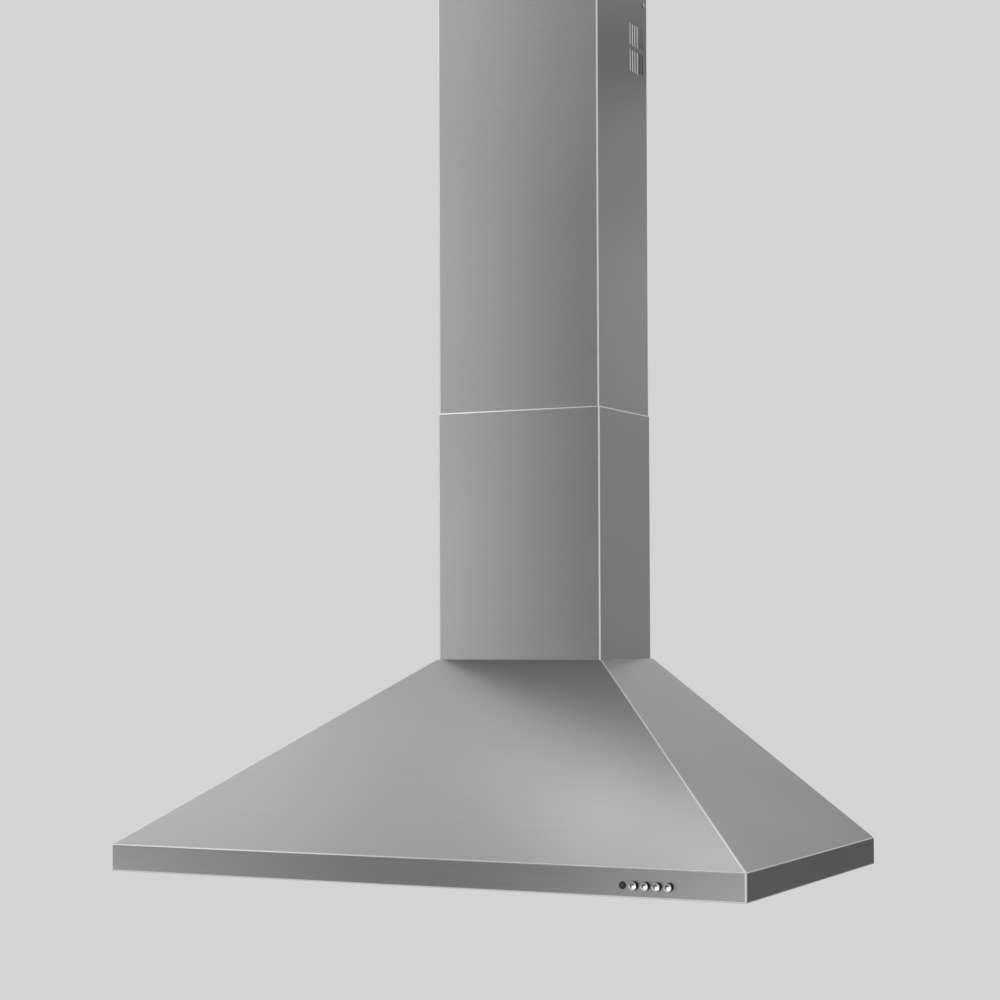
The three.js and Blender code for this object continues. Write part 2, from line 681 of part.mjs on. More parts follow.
function makeUpperChimney(parent) {
  const plan = chimneyPlan(UPPER_HALF, INSET - CHIMNEY_DEPTH, -INSET);
  const across = [-UPPER_HALF - SHEET, UPPER_HALF + SHEET];
  const cuts = [screwHole('x', BRACKET_SCREW, ...across)];
  for (let row = 0; row < SLOT_ROWS; row++) {
    const top = UPPER_TOP - SLOT_BELOW_TOP - row * (SLOT_HEIGHT + SLOT_ROW_GAP);
    for (let column = 0; column < SLOT_COLUMNS; column++) {
      const y = -SLOT_FROM_WALL - column * SLOT_PITCH;
      const round = SLOT_WIDTH / 2;
      const upper = arc(y, top - round, round, 0, HALF_TURN, FOLD_STEPS);
      const lower = arc(y, top - SLOT_HEIGHT + round, round, HALF_TURN, FULL_TURN, FOLD_STEPS);
      cuts.push(prism([...upper, ...lower], 'x', ...across));
    }
  }
  const inside = UPPER_HALF - SHEET;
  const notch = [BRACKET_Z - BRACKET_NOTCH, UPPER_TOP + SHEET];
  cuts.push(block([-inside, inside], [-INSET - FOLD, 0], notch));
  const casing = prism(plan, 'z', UPPER_Z, UPPER_TOP);
  piece(parent, 'upper_chimney', cut(casing, ...cuts), brushedSteel);
}

function makeCeilingBracket(parent) {
  const half = UPPER_HALF - INSET;
  const inner = FOLD - PLATE;
  const plan = rounded([
    [-half, -EAR_REACH],
    [-half, 0, FOLD],
    [half, 0, FOLD],
    [half, -EAR_REACH],
    [half - PLATE, -EAR_REACH],
    [half - PLATE, -PLATE, inner],
    [PLATE - half, -PLATE, inner],
    [PLATE - half, -EAR_REACH],
  ]);
  const [y, z] = BRACKET_SCREW;
  const play = SCREW_RADIUS + SEAT;
  const across = [-half - PLATE, half + PLATE];
  const slot = block(across, [y - play, y + play], [BRACKET_Z - PLATE, z]);
  const wallHoles = both((side) => rod('y', [side * BRACKET_HOLE_X, z], play, -2 * PLATE, PLATE));
  const solid = cut(prism(plan, 'z', BRACKET_Z, BRACKET_TOP), slot, ...wallHoles,
    screwHole('x', BRACKET_SCREW, ...across));
  piece(parent, 'ceiling_bracket', solid, galvanised);

  for (const [name, side] of [['left', -1], ['right', 1]]) {
    const head = side * (UPPER_HALF + SEAT);
    const nutStart = side * (half - PLATE - SEAT);
    const nutEnd = nutStart - side * NUT_HEIGHT;
    const nut = rod('x', BRACKET_SCREW, NUT_RADIUS, Math.min(nutStart, nutEnd),
      Math.max(nutStart, nutEnd), 6);
    const bolt = screw('x', BRACKET_SCREW, head, nutEnd - side * PLATE);
    piece(parent, `bracket_screw_${name}`, join(bolt, nut), zincScrew);
  }
}

function makeTopScrews(parent) {
  topScrews().forEach((at, i) => {
    const head = PLATE_Z - SEAT;
    piece(parent, `top_screw_${i + 1}`, screw('z', at, head, LOWER_Z + SHEET + SCREW_TAIL), zincScrew);
  });
}

// ---------------------------------------------------------------- blower housing

const AXLE = [AXLE_Y, AXLE_Z];
const SHAFT_BORE = SHAFT_RADIUS + SEAT;
const SCROLL_TURN = HALF_TURN + QUARTER_TURN;

// The spiral round the wheel and the straight neck above it, as [y, z], moved out by `offset`.
function scrollOutline(offset, top = SCROLL_TOP) {
  const points = [[AXLE_Y - offset, top], [AXLE_Y - offset, AXLE_Z + SCROLL_START + offset]];
  for (let i = 1; i <= SCROLL_STEPS; i++) {
    const share = i / SCROLL_STEPS;
    const angle = THREE.MathUtils.degToRad(SCROLL_TURN * share);
    const radius = SCROLL_START + SCROLL_GROWTH * share + offset;
    points.push([AXLE_Y - radius * Math.sin(angle), AXLE_Z + radius * Math.cos(angle)]);
  }
  points.push([AXLE_Y + SCROLL_START + SCROLL_GROWTH + offset, top]);
  return points;
}

// Screws through the rim that joins the two halves, in front of the wheel and under it.
function rimScrews() {
  const reach = (turn) => (
    SCROLL_START + SCROLL_GROWTH * turn / SCROLL_TURN + SCROLL_WALL + SCROLL_RIM / 2
  );
  return {
    front: [AXLE_Y - reach(QUARTER_TURN), AXLE_Z],
    bottom: [AXLE_Y, AXLE_Z - reach(HALF_TURN)],
  };
}

function scrollHalf(side) {
  const span = (from, to) => (side > 0 ? [from, to] : [-to, -from]);
  const joint = SEAT / 2;
  const outside = SCROLL_HALF + SCROLL_WALL;
  const shell = cut(
    prism(scrollOutline(SCROLL_WALL), 'x', ...span(joint, outside)),
    prism(scrollOutline(0, SCROLL_TOP + SCROLL_WALL), 'x', ...span(-joint, SCROLL_HALF)),
  );
  const rim = cut(
    prism(scrollOutline(SCROLL_WALL + SCROLL_RIM), 'x', ...span(joint, joint + SCROLL_WALL)),
    prism(scrollOutline(SCROLL_WALL / 2, SCROLL_TOP + SCROLL_WALL), 'x', ...span(-joint, SCROLL_HALF)),
  );
  const flange = cut(
    block(
      span(joint, TOP_FLANGE_HALF),
      [AXLE_Y - TOP_FLANGE_REACH, TOP_FLANGE_REACH - NECK_FROM_WALL],
      [SCROLL_TOP - SCROLL_WALL, SCROLL_TOP],
    ),
    block(
      span(-joint, SCROLL_HALF),
      [AXLE_Y, -NECK_FROM_WALL],
      [SCROLL_TOP - 2 * SCROLL_WALL, SCROLL_TOP + SCROLL_WALL],
    ),
  );
  // Bellmouth of the inlet, which guides the air into the wheel.
  const rimRadius = INLET_RADIUS + MOUTH_FLARE;
  const mouthProfile = [
    [INLET_RADIUS, SCROLL_HALF - MOUTH_DEPTH],
    ...arc(rimRadius, SCROLL_HALF, MOUTH_FLARE, HALF_TURN, QUARTER_TURN, FOLD_STEPS),
    ...arc(rimRadius, SCROLL_HALF, MOUTH_FLARE - SCROLL_WALL, QUARTER_TURN, HALF_TURN, FOLD_STEPS),
    [INLET_RADIUS + SCROLL_WALL, SCROLL_HALF - MOUTH_DEPTH],
  ];
  const mouth = turned(mouthProfile.map(([r, h]) => [r, side * h]), 'x', AXLE, ROUND);
  const inlet = rod('x', AXLE, INLET_RADIUS + SCROLL_WALL / 2,
    ...span(SCROLL_HALF - SCROLL_WALL, outside + SCROLL_WALL), ROUND);
  const across = span(-joint, SCROLL_WALL * 2);
  const rimHoles = Object.values(rimScrews()).map((at) => screwHole('x', at, ...across));
  const heights = [SCROLL_TOP - 2 * SCROLL_WALL, SCROLL_TOP + SCROLL_WALL];
  const flangeHoles = collarScrews().map((at) => screwHole('z', at, ...heights));
  return join(cut(join(shell, rim, flange), inlet, ...rimHoles, ...flangeHoles), mouth);
}

function makeScroll(parent) {
  piece(parent, 'scroll_half_left', scrollHalf(-1), galvanised);
  piece(parent, 'scroll_half_right', scrollHalf(1), galvanised);
  for (const [name, at] of Object.entries(rimScrews())) {
    const rim = SEAT / 2 + SCROLL_WALL;
    piece(parent, `scroll_screw_${name}`, screw('x', at, -rim - SEAT, rim + SCREW_TAIL), zincScrew);
  }
}

// ---------------------------------------------------------------- wheel and motor

// One forward-curved blade as [y, z] round the wheel's axle, starting at `angle` in radians.
function bladeOutline(angle) {
  const tip = WHEEL_RADIUS - BLADE_THICK;
  const edge = (shift) => {
    const points = [];
    for (let i = 0; i <= BLADE_STEPS; i++) {
      const share = i / BLADE_STEPS;
      const radius = BLADE_INNER + (tip - BLADE_INNER) * share;
      const sweep = THREE.MathUtils.degToRad(BLADE_SWEEP) * share ** 2;
      const hollow = BLADE_BULGE * Math.sin(Math.PI * share);
      const turn = angle + sweep - (hollow - shift) / radius;
      points.push([radius * Math.cos(turn), radius * Math.sin(turn)]);
    }
    return points;
  };
  return [...edge(-BLADE_THICK / 2), ...edge(BLADE_THICK / 2).reverse()];
}

function impeller() {
  const bladeEnd = WHEEL_HALF - WHEEL_RING / 2;
  const parts = both((side) => {
    const ends = [side * (WHEEL_HALF - WHEEL_RING), side * WHEEL_HALF];
    const inner = WHEEL_RADIUS - WHEEL_RING_WALL;
    const profile = [[inner, ends[0]], [WHEEL_RADIUS, ends[0]], [WHEEL_RADIUS, ends[1]], [inner, ends[1]]];
    return turned(profile, 'x', [0, 0], BLADE_COUNT);
  });
  for (let i = 0; i < BLADE_COUNT; i++) {
    parts.push(prism(bladeOutline(2 * Math.PI * i / BLADE_COUNT), 'x', -bladeEnd, bladeEnd));
  }
  const disc = rod('x', [0, 0], BLADE_INNER + WHEEL_DISC, -WHEEL_DISC / 2, WHEEL_DISC / 2, BLADE_COUNT);
  const hub = rod('x', [0, 0], HUB_RADIUS, -HUB_REAR, HUB_FRONT, ROUND);
  const bore = rod('x', [0, 0], SHAFT_BORE, -HUB_REAR - SEAT, HUB_FRONT + SEAT);
  return cut(join(disc, hub, ...parts), bore);
}

function makeWheel(parent) {
  const axle = group(parent, 0, AXLE_Y, AXLE_Z);
  piece(axle, 'impeller', impeller(), galvanised);
  const ends = [-HUB_REAR - SHAFT_TAIL, SHOULDER_END + SHAFT_TAIL];
  piece(axle, 'motor_shaft', rod('x', [0, 0], SHAFT_RADIUS, ...ends), zincScrew);
}

// A block across the wheel's axle: `from` to `to` out from it, turned to `angle` in degrees.
function spoke(angle, from, to, width, [x0, x1]) {
  const turn = THREE.MathUtils.degToRad(angle);
  const corners = [[from, -width / 2], [to, -width / 2], [to, width / 2], [from, width / 2]];
  const points = corners.map(([u, v]) => [
    u * Math.cos(turn) - v * Math.sin(turn),
    u * Math.sin(turn) + v * Math.cos(turn),
  ]);
  return prism(points, 'x', x0, x1);
}

function makeMotor(parent) {
  const axle = group(parent, 0, AXLE_Y, AXLE_Z);
  const body = turned([
    [SHAFT_BORE, MOTOR_START],
    [MOTOR_RADIUS - MOTOR_BEVEL, MOTOR_START],
    [MOTOR_RADIUS, MOTOR_START + MOTOR_BEVEL],
    [MOTOR_RADIUS, MOTOR_END - MOTOR_BEVEL],
    [MOTOR_RADIUS - MOTOR_BEVEL, MOTOR_END],
    [MOTOR_SHOULDER, MOTOR_END],
    [MOTOR_SHOULDER, SHOULDER_END],
    [SHAFT_BORE, SHOULDER_END],
  ], 'x');
  const slots = [];
  for (let i = 0; i < MOTOR_SLOTS; i++) {
    const depth = [MOTOR_START - SEAT, MOTOR_START + MOTOR_SLOT_DEPTH];
    const turn = FULL_TURN * i / MOTOR_SLOTS;
    slots.push(spoke(turn, MOTOR_SLOT_INNER, MOTOR_SLOT_OUTER, MOTOR_SLOT_WIDTH, depth));
  }
  piece(axle, 'motor_body', cut(body, ...slots), galvanised);

  const plate = [MOTOR_END + SEAT, MOTOR_END + SEAT + BRACKET_THICK];
  const foot = SCROLL_HALF + SCROLL_WALL + SEAT;
  const hole = rod('x', [0, 0], MOTOR_SHOULDER + SEAT, plate[0] - SEAT, plate[1] + SEAT, ROUND);
  const arms = [];
  for (let i = 0; i < BRACKET_ARMS; i++) {
    const angle = QUARTER_TURN + FULL_TURN * i / BRACKET_ARMS;
    const turn = THREE.MathUtils.degToRad(angle);
    const boss = [BRACKET_BOSS_AT * Math.cos(turn), BRACKET_BOSS_AT * Math.sin(turn)];
    arms.push(spoke(angle, MOTOR_SHOULDER, BRACKET_BOSS_AT, BRACKET_ARM_WIDTH, plate));
    arms.push(rod('x', boss, BRACKET_BOSS, foot, plate[1]));
  }
  const ring = rod('x', [0, 0], BRACKET_RING, ...plate, ROUND);
  piece(axle, 'motor_bracket', cut(join(ring, ...arms), hole), galvanised);
}

// ---------------------------------------------------------------- outlet collar and flaps

function makeCollar(parent) {
  const inside = COLLAR_RADIUS - COLLAR_WALL;
  const centre = [0, NECK_Y];
  const top = COLLAR_Z + COLLAR_HEIGHT;
  const ring = turned([
    [LEDGE_INNER, COLLAR_Z],
    [COLLAR_RADIUS, COLLAR_Z],
    [COLLAR_RADIUS, top],
    [inside, top],
    [inside, COLLAR_Z + LEDGE_HEIGHT],
    [LEDGE_INNER, COLLAR_Z + LEDGE_HEIGHT],
  ], 'z', centre, ROUND);
  const reach = [-TOP_FLANGE_HALF, TOP_FLANGE_HALF];
  const base = prism(panel(reach, reach.map((y) => y + NECK_Y), RAIL_CORNER), 'z',
    COLLAR_Z, COLLAR_Z + COLLAR_BASE);
  const through = [COLLAR_Z - SEAT, COLLAR_Z + COLLAR_BASE + SEAT];
  const well = rod('z', centre, LEDGE_INNER + SEAT, ...through, ROUND);
  const screws = collarScrews().map((at) => screwHole('z', at, ...through));
  const pinHole = rod('x', [NECK_Y, PIN_Z], PIN_RADIUS + SEAT, -COLLAR_RADIUS, COLLAR_RADIUS);
  piece(parent, 'outlet_collar', cut(join(cut(base, well, ...screws), ring), pinHole), darkPlastic);

  const pinEnd = COLLAR_RADIUS - COLLAR_WALL / 2;
  piece(parent, 'flap_pin', rod('x', [NECK_Y, PIN_Z], PIN_RADIUS, -pinEnd, pinEnd), zincScrew);
  collarScrews().forEach((at, i) => {
    const head = COLLAR_Z + COLLAR_BASE + SEAT;
    const tip = SCROLL_TOP - SCROLL_WALL - SCREW_TAIL;
    piece(parent, `collar_screw_${i + 1}`, screw('z', at, head, tip), zincScrew);
  });
}

// A half-round flap hung on the pin by every second knuckle.
function flap(side, firstKnuckle) {
  const radius = COLLAR_RADIUS - COLLAR_WALL - FLAP_PLAY;
  const start = THREE.MathUtils.radToDeg(Math.asin(FLAP_ROOT / radius));
  const edge = arc(0, 0, radius, start, HALF_TURN - start, SMALL_ROUND);
  const outline = edge.map(([x, y]) => [x, NECK_Y + side * y]);
  const sheet = [PIN_Z - FLAP_THICK / 2, PIN_Z + FLAP_THICK / 2];
  let solid = prism(outline, 'z', ...sheet);
  const pitch = KNUCKLE_LENGTH + KNUCKLE_GAP;
  for (let i = firstKnuckle; i < KNUCKLE_COUNT; i += 2) {
    const x0 = (i - KNUCKLE_COUNT / 2) * pitch + KNUCKLE_GAP / 2;
    const ends = [x0, x0 + KNUCKLE_LENGTH];
    const web = [NECK_Y, NECK_Y + side * (FLAP_ROOT + FLAP_THICK)].sort((a, b) => a - b);
    solid = join(solid, rod('x', [NECK_Y, PIN_Z], KNUCKLE_RADIUS, ...ends), block(ends, web, sheet));
  }
  return cut(solid, rod('x', [NECK_Y, PIN_Z], PIN_RADIUS + SEAT, -radius, radius));
}

function makeFlaps(parent) {
  piece(parent, 'flap_front', flap(-1, 0), greyPlastic);
  piece(parent, 'flap_rear', flap(1, 1), greyPlastic);
}

// ---------------------------------------------------------------- grease filters

const FILTER_X = FILTER_WIDTH / 2;
const SLIDER_FRONT = -(FILTER_DEPTH - SHEET - SEAT);
const HOOK_TOP = HOOK_RAISE + HOOK_THICK;

function filterFrame() {
  const heights = [0, FILTER_HEIGHT];
  const within = (inset, radius) => panel(
    [inset - FILTER_X, FILTER_X - inset], [inset - FILTER_DEPTH, -inset], radius);
  const body = prism(within(0, RAIL_CORNER), 'z', ...heights);
  const window = prism(within(RAIL_WIDTH, FOLD), 'z', -SHEET, FILTER_HEIGHT + SHEET);
  const channel = prism(within(SHEET, RAIL_CORNER - SHEET), 'z', SHEET, FILTER_HEIGHT - SHEET);
  const hooks = both((side) => {
    const x = side * HOOK_X;
    const reach = [-SHEET, FILTER_GAP + HOOK_REACH];
    return block([x - HOOK_WIDTH / 2, x + HOOK_WIDTH / 2], reach, [HOOK_RAISE, HOOK_TOP]);
  });
  const half = TONGUE_WIDTH / 2 + SIDE_PLAY;
  const mouth = block([-half, half], [-FILTER_DEPTH - SHEET, SLIDER_FRONT],
    [HOOK_RAISE - SIDE_PLAY, HOOK_TOP + SIDE_PLAY]);
  return cut(join(cut(body, window, channel), ...hooks), mouth);
}

// Expanded aluminium: a slab pierced by staggered diamonds.
function filterMesh() {
  const gap = SHEET + SEAT;
  const radius = RAIL_CORNER - SHEET;
  const outline = panel([gap - FILTER_X, FILTER_X - gap], [gap - FILTER_DEPTH, -gap], radius);
  const shape = new THREE.Shape(outline.map(([x, y]) => new THREE.Vector2(x, y)));
  const [openWidth, openDepth] = [FILTER_WIDTH - 2 * RAIL_WIDTH, FILTER_DEPTH - 2 * RAIL_WIDTH];
  const [a, b] = [openWidth / MESH_COLUMNS / 2, openDepth / MESH_ROWS / 2];
  const shrink = 1 - MESH_STRAND / 2 * Math.hypot(a, b) / (a * b);
  const latchRoom = LATCH_DEPTH + SHEET + 2 * SEAT;
  for (let row = 1; row < 2 * MESH_ROWS; row++) {
    for (let column = 1; column < 2 * MESH_COLUMNS; column++) {
      if ((row + column) % 2) continue;
      const x = column * a - openWidth / 2;
      const y = row * b - openDepth - RAIL_WIDTH;
      const byLatch = Math.abs(x) < LATCH_WIDTH / 2 + a && y - b < latchRoom - FILTER_DEPTH;
      if (byLatch) continue;
      const corners = [[-a, 0], [0, -b], [a, 0], [0, b]];
      shape.holes.push(new THREE.Path(corners.map(
        ([u, v]) => new THREE.Vector2(x + u * shrink, y + v * shrink))));
    }
  }
  const depth = FILTER_HEIGHT - 2 * gap;
  const geometry = new THREE.ExtrudeGeometry(shape, { depth, bevelEnabled: false });
  geometry.translate(0, 0, gap);
  const half = LATCH_WIDTH / 2 + SEAT;
  const latch = block([-half, half], [-FILTER_DEPTH, latchRoom - FILTER_DEPTH], [0, FILTER_HEIGHT]);
  return cut(solidOf(geometry), latch);
}

function latchHousing() {
  const half = LATCH_WIDTH / 2;
  const top = FILTER_HEIGHT - SHEET - SEAT;
  const depth = [SLIDER_FRONT, SLIDER_FRONT + LATCH_DEPTH];
  const pocket = SLIDER_WIDTH / 2 + SIDE_PLAY;
  const body = block([-half, half], depth, [HOOK_RAISE, top]);
  const room = block([-pocket, pocket], [depth[0] - SHEET, depth[1] - LATCH_WALL],
    [0, HOOK_TOP + SIDE_PLAY]);
  const hollow = block([LATCH_WALL - half, half - LATCH_WALL], [depth[0] - SHEET, depth[1] - LATCH_WALL],
    [HOOK_TOP + SIDE_PLAY + LATCH_WALL, top - LATCH_WALL]);
  return cut(body, room, hollow);
}

// The spring catch: a plate with a tongue that stands over the panel, and a finger grip.
function latchSlider() {
  const [half, tongue, thumb] = [SLIDER_WIDTH / 2, TONGUE_WIDTH / 2, THUMB_WIDTH / 2];
  const rear = SLIDER_FRONT + SLIDER_LENGTH;
  const tip = -FILTER_DEPTH - LATCH_TRAVEL;
  const outline = rounded([
    [-half, rear], [-half, SLIDER_FRONT, FOLD], [-tongue, SLIDER_FRONT], [-tongue, tip, FOLD / 2],
    [tongue, tip, FOLD / 2], [tongue, SLIDER_FRONT], [half, SLIDER_FRONT, FOLD], [half, rear],
  ]);
  const plate = prism(outline, 'z', HOOK_RAISE, HOOK_TOP);
  const ridge = [
    [rear - THUMB_LENGTH, HOOK_TOP],
    [rear - THUMB_LENGTH + THUMB_SLOPE, -THUMB_DROP],
    [rear - THUMB_SLOPE, -THUMB_DROP],
    [rear, HOOK_TOP],
  ];
  return join(plate, prism(ridge, 'x', -thumb, thumb));
}

function makeFilters(parent) {
  ['left', 'middle', 'right'].forEach((name, i) => {
    const x = (i - (FILTER_COUNT - 1) / 2) * (FILTER_WIDTH + FILTER_GAP);
    const filter = group(parent, x, -FILTER_FROM_WALL - FILTER_GAP, PANEL_Z);
    piece(filter, `filter_frame_${name}`, filterFrame(), aluminium);
    piece(filter, `filter_mesh_${name}`, filterMesh(), aluminium);
    piece(filter, `latch_housing_${name}`, latchHousing(), greyPlastic);
    piece(filter, `latch_slider_${name}`, latchSlider(), greyPlastic);
  });
}

// ---------------------------------------------------------------- lamps

function lampBody(z) {
  const radius = TRIM_WINDOW - SEAT;
  const fins = [];
  for (let i = 0; i < LAMP_FIN_COUNT; i++) {
    const turn = new THREE.Matrix4().makeRotationZ(2 * Math.PI * i / LAMP_FIN_COUNT);
    const slot = new THREE.BoxGeometry(2 * LAMP_FIN_DEPTH, LAMP_FIN_WIDTH, LAMP_BODY_HEIGHT);
    slot.translate(radius, 0, z + LAMP_BODY_HEIGHT / 2 + LENS_THICK);
    fins.push(solidOf(slot.applyMatrix4(turn)));
  }
  return cut(rod('z', [0, 0], radius, z, z + LAMP_BODY_HEIGHT, ROUND), ...fins);
}

function makeLamps(parent) {
  const under = PANEL_Z - SEAT;
  const ledge = LAMP_HOLE - SEAT;
  const inner = ledge - LAMP_COLLAR_WALL;
  const rim = inner - SEAT;
  const lensZ = under + SEAT;
  for (const [name, side] of [['left', -1], ['right', 1]]) {
    const lamp = group(parent, side * LAMP_X, LAMP_Y, 0);
    const trim = turned([
      [TRIM_WINDOW, under - TRIM_THICK],
      [TRIM_RADIUS - TRIM_THICK, under - TRIM_THICK],
      [TRIM_RADIUS, under],
      [ledge, under],
      [ledge, under + LAMP_COLLAR_HEIGHT],
      [inner, under + LAMP_COLLAR_HEIGHT],
      [inner, under],
      [TRIM_WINDOW, under],
    ], 'z');
    const lens = turned([
      [0, lensZ - LENS_CROWN],
      [LENS_FLAT, lensZ - LENS_CROWN],
      [TRIM_WINDOW - LENS_CROWN, lensZ],
      [rim, lensZ],
      [rim, lensZ + LENS_THICK],
      [0, lensZ + LENS_THICK],
    ], 'z');
    piece(lamp, `lamp_trim_${name}`, trim, brushedSteel);
    piece(lamp, `lamp_lens_${name}`, lens, lampGlass);
    piece(lamp, `lamp_body_${name}`, lampBody(lensZ + LENS_THICK + SEAT), aluminium);
  }
}

// ---------------------------------------------------------------- controls

const CAP_REAR = FRONT_Y - BUTTON_PROUD + BUTTON_CAP;
const BOX_X = [controlX(0) - BOX_MARGIN, controlX(BUTTON_COUNT) + BOX_MARGIN];
const BOX_Y = [FRONT_Y + INSET, FRONT_Y + INSET + BOX_DEPTH];

function makeSwitchBox(parent) {
  const mouth = BOX_Y[0] - SHEET;
  const capEnd = CAP_REAR + BUTTON_TRAVEL + 2 * SEAT;
  const stemEnd = capEnd + STEM_LENGTH;
  const bezelEnd = FRONT_Y + BEZEL_LENGTH + SEAT;
  const bores = [rod('y', [controlX(0), CONTROL_Z], BEZEL_BARREL + SEAT, mouth, bezelEnd)];
  for (let i = 1; i <= BUTTON_COUNT; i++) {
    const centre = [controlX(i), CONTROL_Z];
    bores.push(rod('y', centre, BUTTON_RADIUS + BORE_PLAY, mouth, capEnd, BORE_ROUND));
    bores.push(rod('y', centre, STEM_RADIUS + BORE_PLAY, capEnd - SEAT, stemEnd, BORE_ROUND));
  }
  const body = block(BOX_X, BOX_Y, [FLOOR_Z, FLOOR_Z + BOX_HEIGHT]);
  piece(parent, 'switch_box', cut(body, ...bores), darkPlastic);
}

function makeControls(parent) {
  const pilot = group(parent, controlX(0), FRONT_Y, CONTROL_Z);
  const flange = -SEAT - BEZEL_FLANGE;
  const bore = PILOT_RADIUS + SEAT;
  piece(pilot, 'pilot_bezel', turned([
    [bore, flange],
    [BEZEL_RADIUS - EDGE_ROUND, flange],
    [BEZEL_RADIUS, -SEAT],
    [BEZEL_BARREL, -SEAT],
    [BEZEL_BARREL, BEZEL_LENGTH],
    [bore, BEZEL_LENGTH],
  ], 'y'), darkPlastic);
  piece(pilot, 'pilot_lens', turned([
    [0, flange - PILOT_PROUD],
    [PILOT_RADIUS - PILOT_PROUD / 2, flange - PILOT_PROUD / 2],
    [PILOT_RADIUS, flange],
    [PILOT_RADIUS, BEZEL_LENGTH],
    [0, BEZEL_LENGTH],
  ], 'y', [0, 0], SMALL_ROUND), pilotGlass);
  for (let i = 1; i <= BUTTON_COUNT; i++) {
    const button = group(parent, controlX(i), FRONT_Y - BUTTON_PROUD, CONTROL_Z);
    piece(button, `button_${i}`, turned([
      [0, 0],
      [BUTTON_RADIUS - EDGE_ROUND, 0],
      [BUTTON_RADIUS, EDGE_ROUND],
      [BUTTON_RADIUS, BUTTON_CAP],
      [STEM_RADIUS, BUTTON_CAP],
      [STEM_RADIUS, BUTTON_CAP + STEM_LENGTH],
      [0, BUTTON_CAP + STEM_LENGTH],
    ], 'y', [0, 0], BORE_ROUND), chrome);
  }
}

// ---------------------------------------------------------------- electrical parts

const ELEC_END = ELEC_X + ELEC_WIDTH;
const ELEC_TOP = ELEC_Z + ELEC_HEIGHT;
const ELEC_FRONT = BACK_Y - ELEC_DEPTH;
const ELEC_MIDDLE = [ELEC_X + ELEC_WIDTH / 2, BACK_Y - ELEC_DEPTH / 2];

function makeElectricsBox(parent) {
  const inside = [[ELEC_X + ELEC_WALL, ELEC_END - ELEC_WALL], [ELEC_Z + ELEC_WALL, ELEC_TOP - ELEC_WALL]];
  const body = block([ELEC_X, ELEC_END], [ELEC_FRONT, BACK_Y], [ELEC_Z, ELEC_TOP]);
  const room = block(inside[0], [ELEC_FRONT - ELEC_WALL, BACK_Y - ELEC_WALL], inside[1]);
  const cable = rod('z', ELEC_MIDDLE, GLAND_BARREL + SEAT, ELEC_TOP - 2 * ELEC_WALL, ELEC_TOP + ELEC_WALL);
  piece(parent, 'electrics_box', cut(body, room, cable), darkPlastic);

  const lidY = [ELEC_FRONT - SEAT - ELEC_WALL, ELEC_FRONT - SEAT];
  const step = inside.map(([from, to]) => [from + SEAT, to - SEAT]);
  piece(parent, 'electrics_lid', join(
    block([ELEC_X, ELEC_END], lidY, [ELEC_Z, ELEC_TOP]),
    block(step[0], [lidY[0] + ELEC_WALL / 2, ELEC_FRONT + LID_STEP], step[1]),
  ), darkPlastic);

  piece(parent, 'cable_gland', turned([
    [GLAND_BORE, ELEC_TOP - ELEC_WALL],
    [GLAND_BARREL, ELEC_TOP - ELEC_WALL],
    [GLAND_BARREL, ELEC_TOP + SEAT],
    [GLAND_RADIUS, ELEC_TOP + SEAT],
    [GLAND_RADIUS, ELEC_TOP + SEAT + GLAND_HEX],
    [GLAND_RADIUS - ELEC_WALL, ELEC_TOP + GLAND_HEX + ELEC_WALL],
    [GLAND_BARREL, ELEC_TOP + GLAND_HEIGHT],
    [GLAND_BORE, ELEC_TOP + GLAND_HEIGHT],
  ], 'z', ELEC_MIDDLE, SMALL_ROUND), darkPlastic);

  const start = ELEC_Z + (ELEC_HEIGHT - CAPACITOR_LENGTH) / 2;
  const end = start + CAPACITOR_LENGTH;
  piece(parent, 'capacitor', turned([
    [0, start],
    [CAPACITOR_RADIUS - SHEET, start],
    [CAPACITOR_RADIUS, start + SHEET],
    [CAPACITOR_RADIUS, end - CAPACITOR_CAP],
    [CAPACITOR_RADIUS - CAPACITOR_CAP / 2, end - CAPACITOR_CAP],
    [CAPACITOR_RADIUS - CAPACITOR_CAP, end],
    [0, end],
  ], 'z', [ELEC_X - SEAT - CAPACITOR_RADIUS, BACK_Y - CAPACITOR_RADIUS]), whitePlastic);
}

function makeGrommet(parent) {
  const neck = GROMMET_HOLE - SEAT;
  piece(parent, 'cable_grommet', turned([
    [GROMMET_BORE, PLATE_Z - SEAT - GROMMET_LIP],
    [GROMMET_RIM, PLATE_Z - SEAT - GROMMET_LIP],
    [GROMMET_RIM, PLATE_Z - SEAT],
    [neck, PLATE_Z - SEAT],
    [neck, PLATE_TOP + SEAT],
    [GROMMET_RIM, PLATE_TOP + SEAT],
    [GROMMET_RIM, PLATE_TOP + SEAT + GROMMET_LIP],
    [GROMMET_BORE, PLATE_TOP + SEAT + GROMMET_LIP],
  ], 'z', [GROMMET_X, -GROMMET_FROM_WALL], SMALL_ROUND), rubber);
}

// A path of straight runs through corner points, each corner rounded by a bend.
function bentPath(corners) {
  const points = corners.map((corner) => new THREE.Vector3(...corner));
  const path = new THREE.CurvePath();
  let from = points[0];
  for (let i = 1; i + 1 < points.length; i++) {
    const here = points[i];
    const [start, end] = [points[i - 1], points[i + 1]].map(
      (other) => here.clone().lerp(other, LOOM_BEND / here.distanceTo(other)));
    path.add(new THREE.LineCurve3(from, start));
    path.add(new THREE.QuadraticBezierCurve3(start, here, end));
    from = end;
  }
  path.add(new THREE.LineCurve3(from, points.at(-1)));
  return path;
}

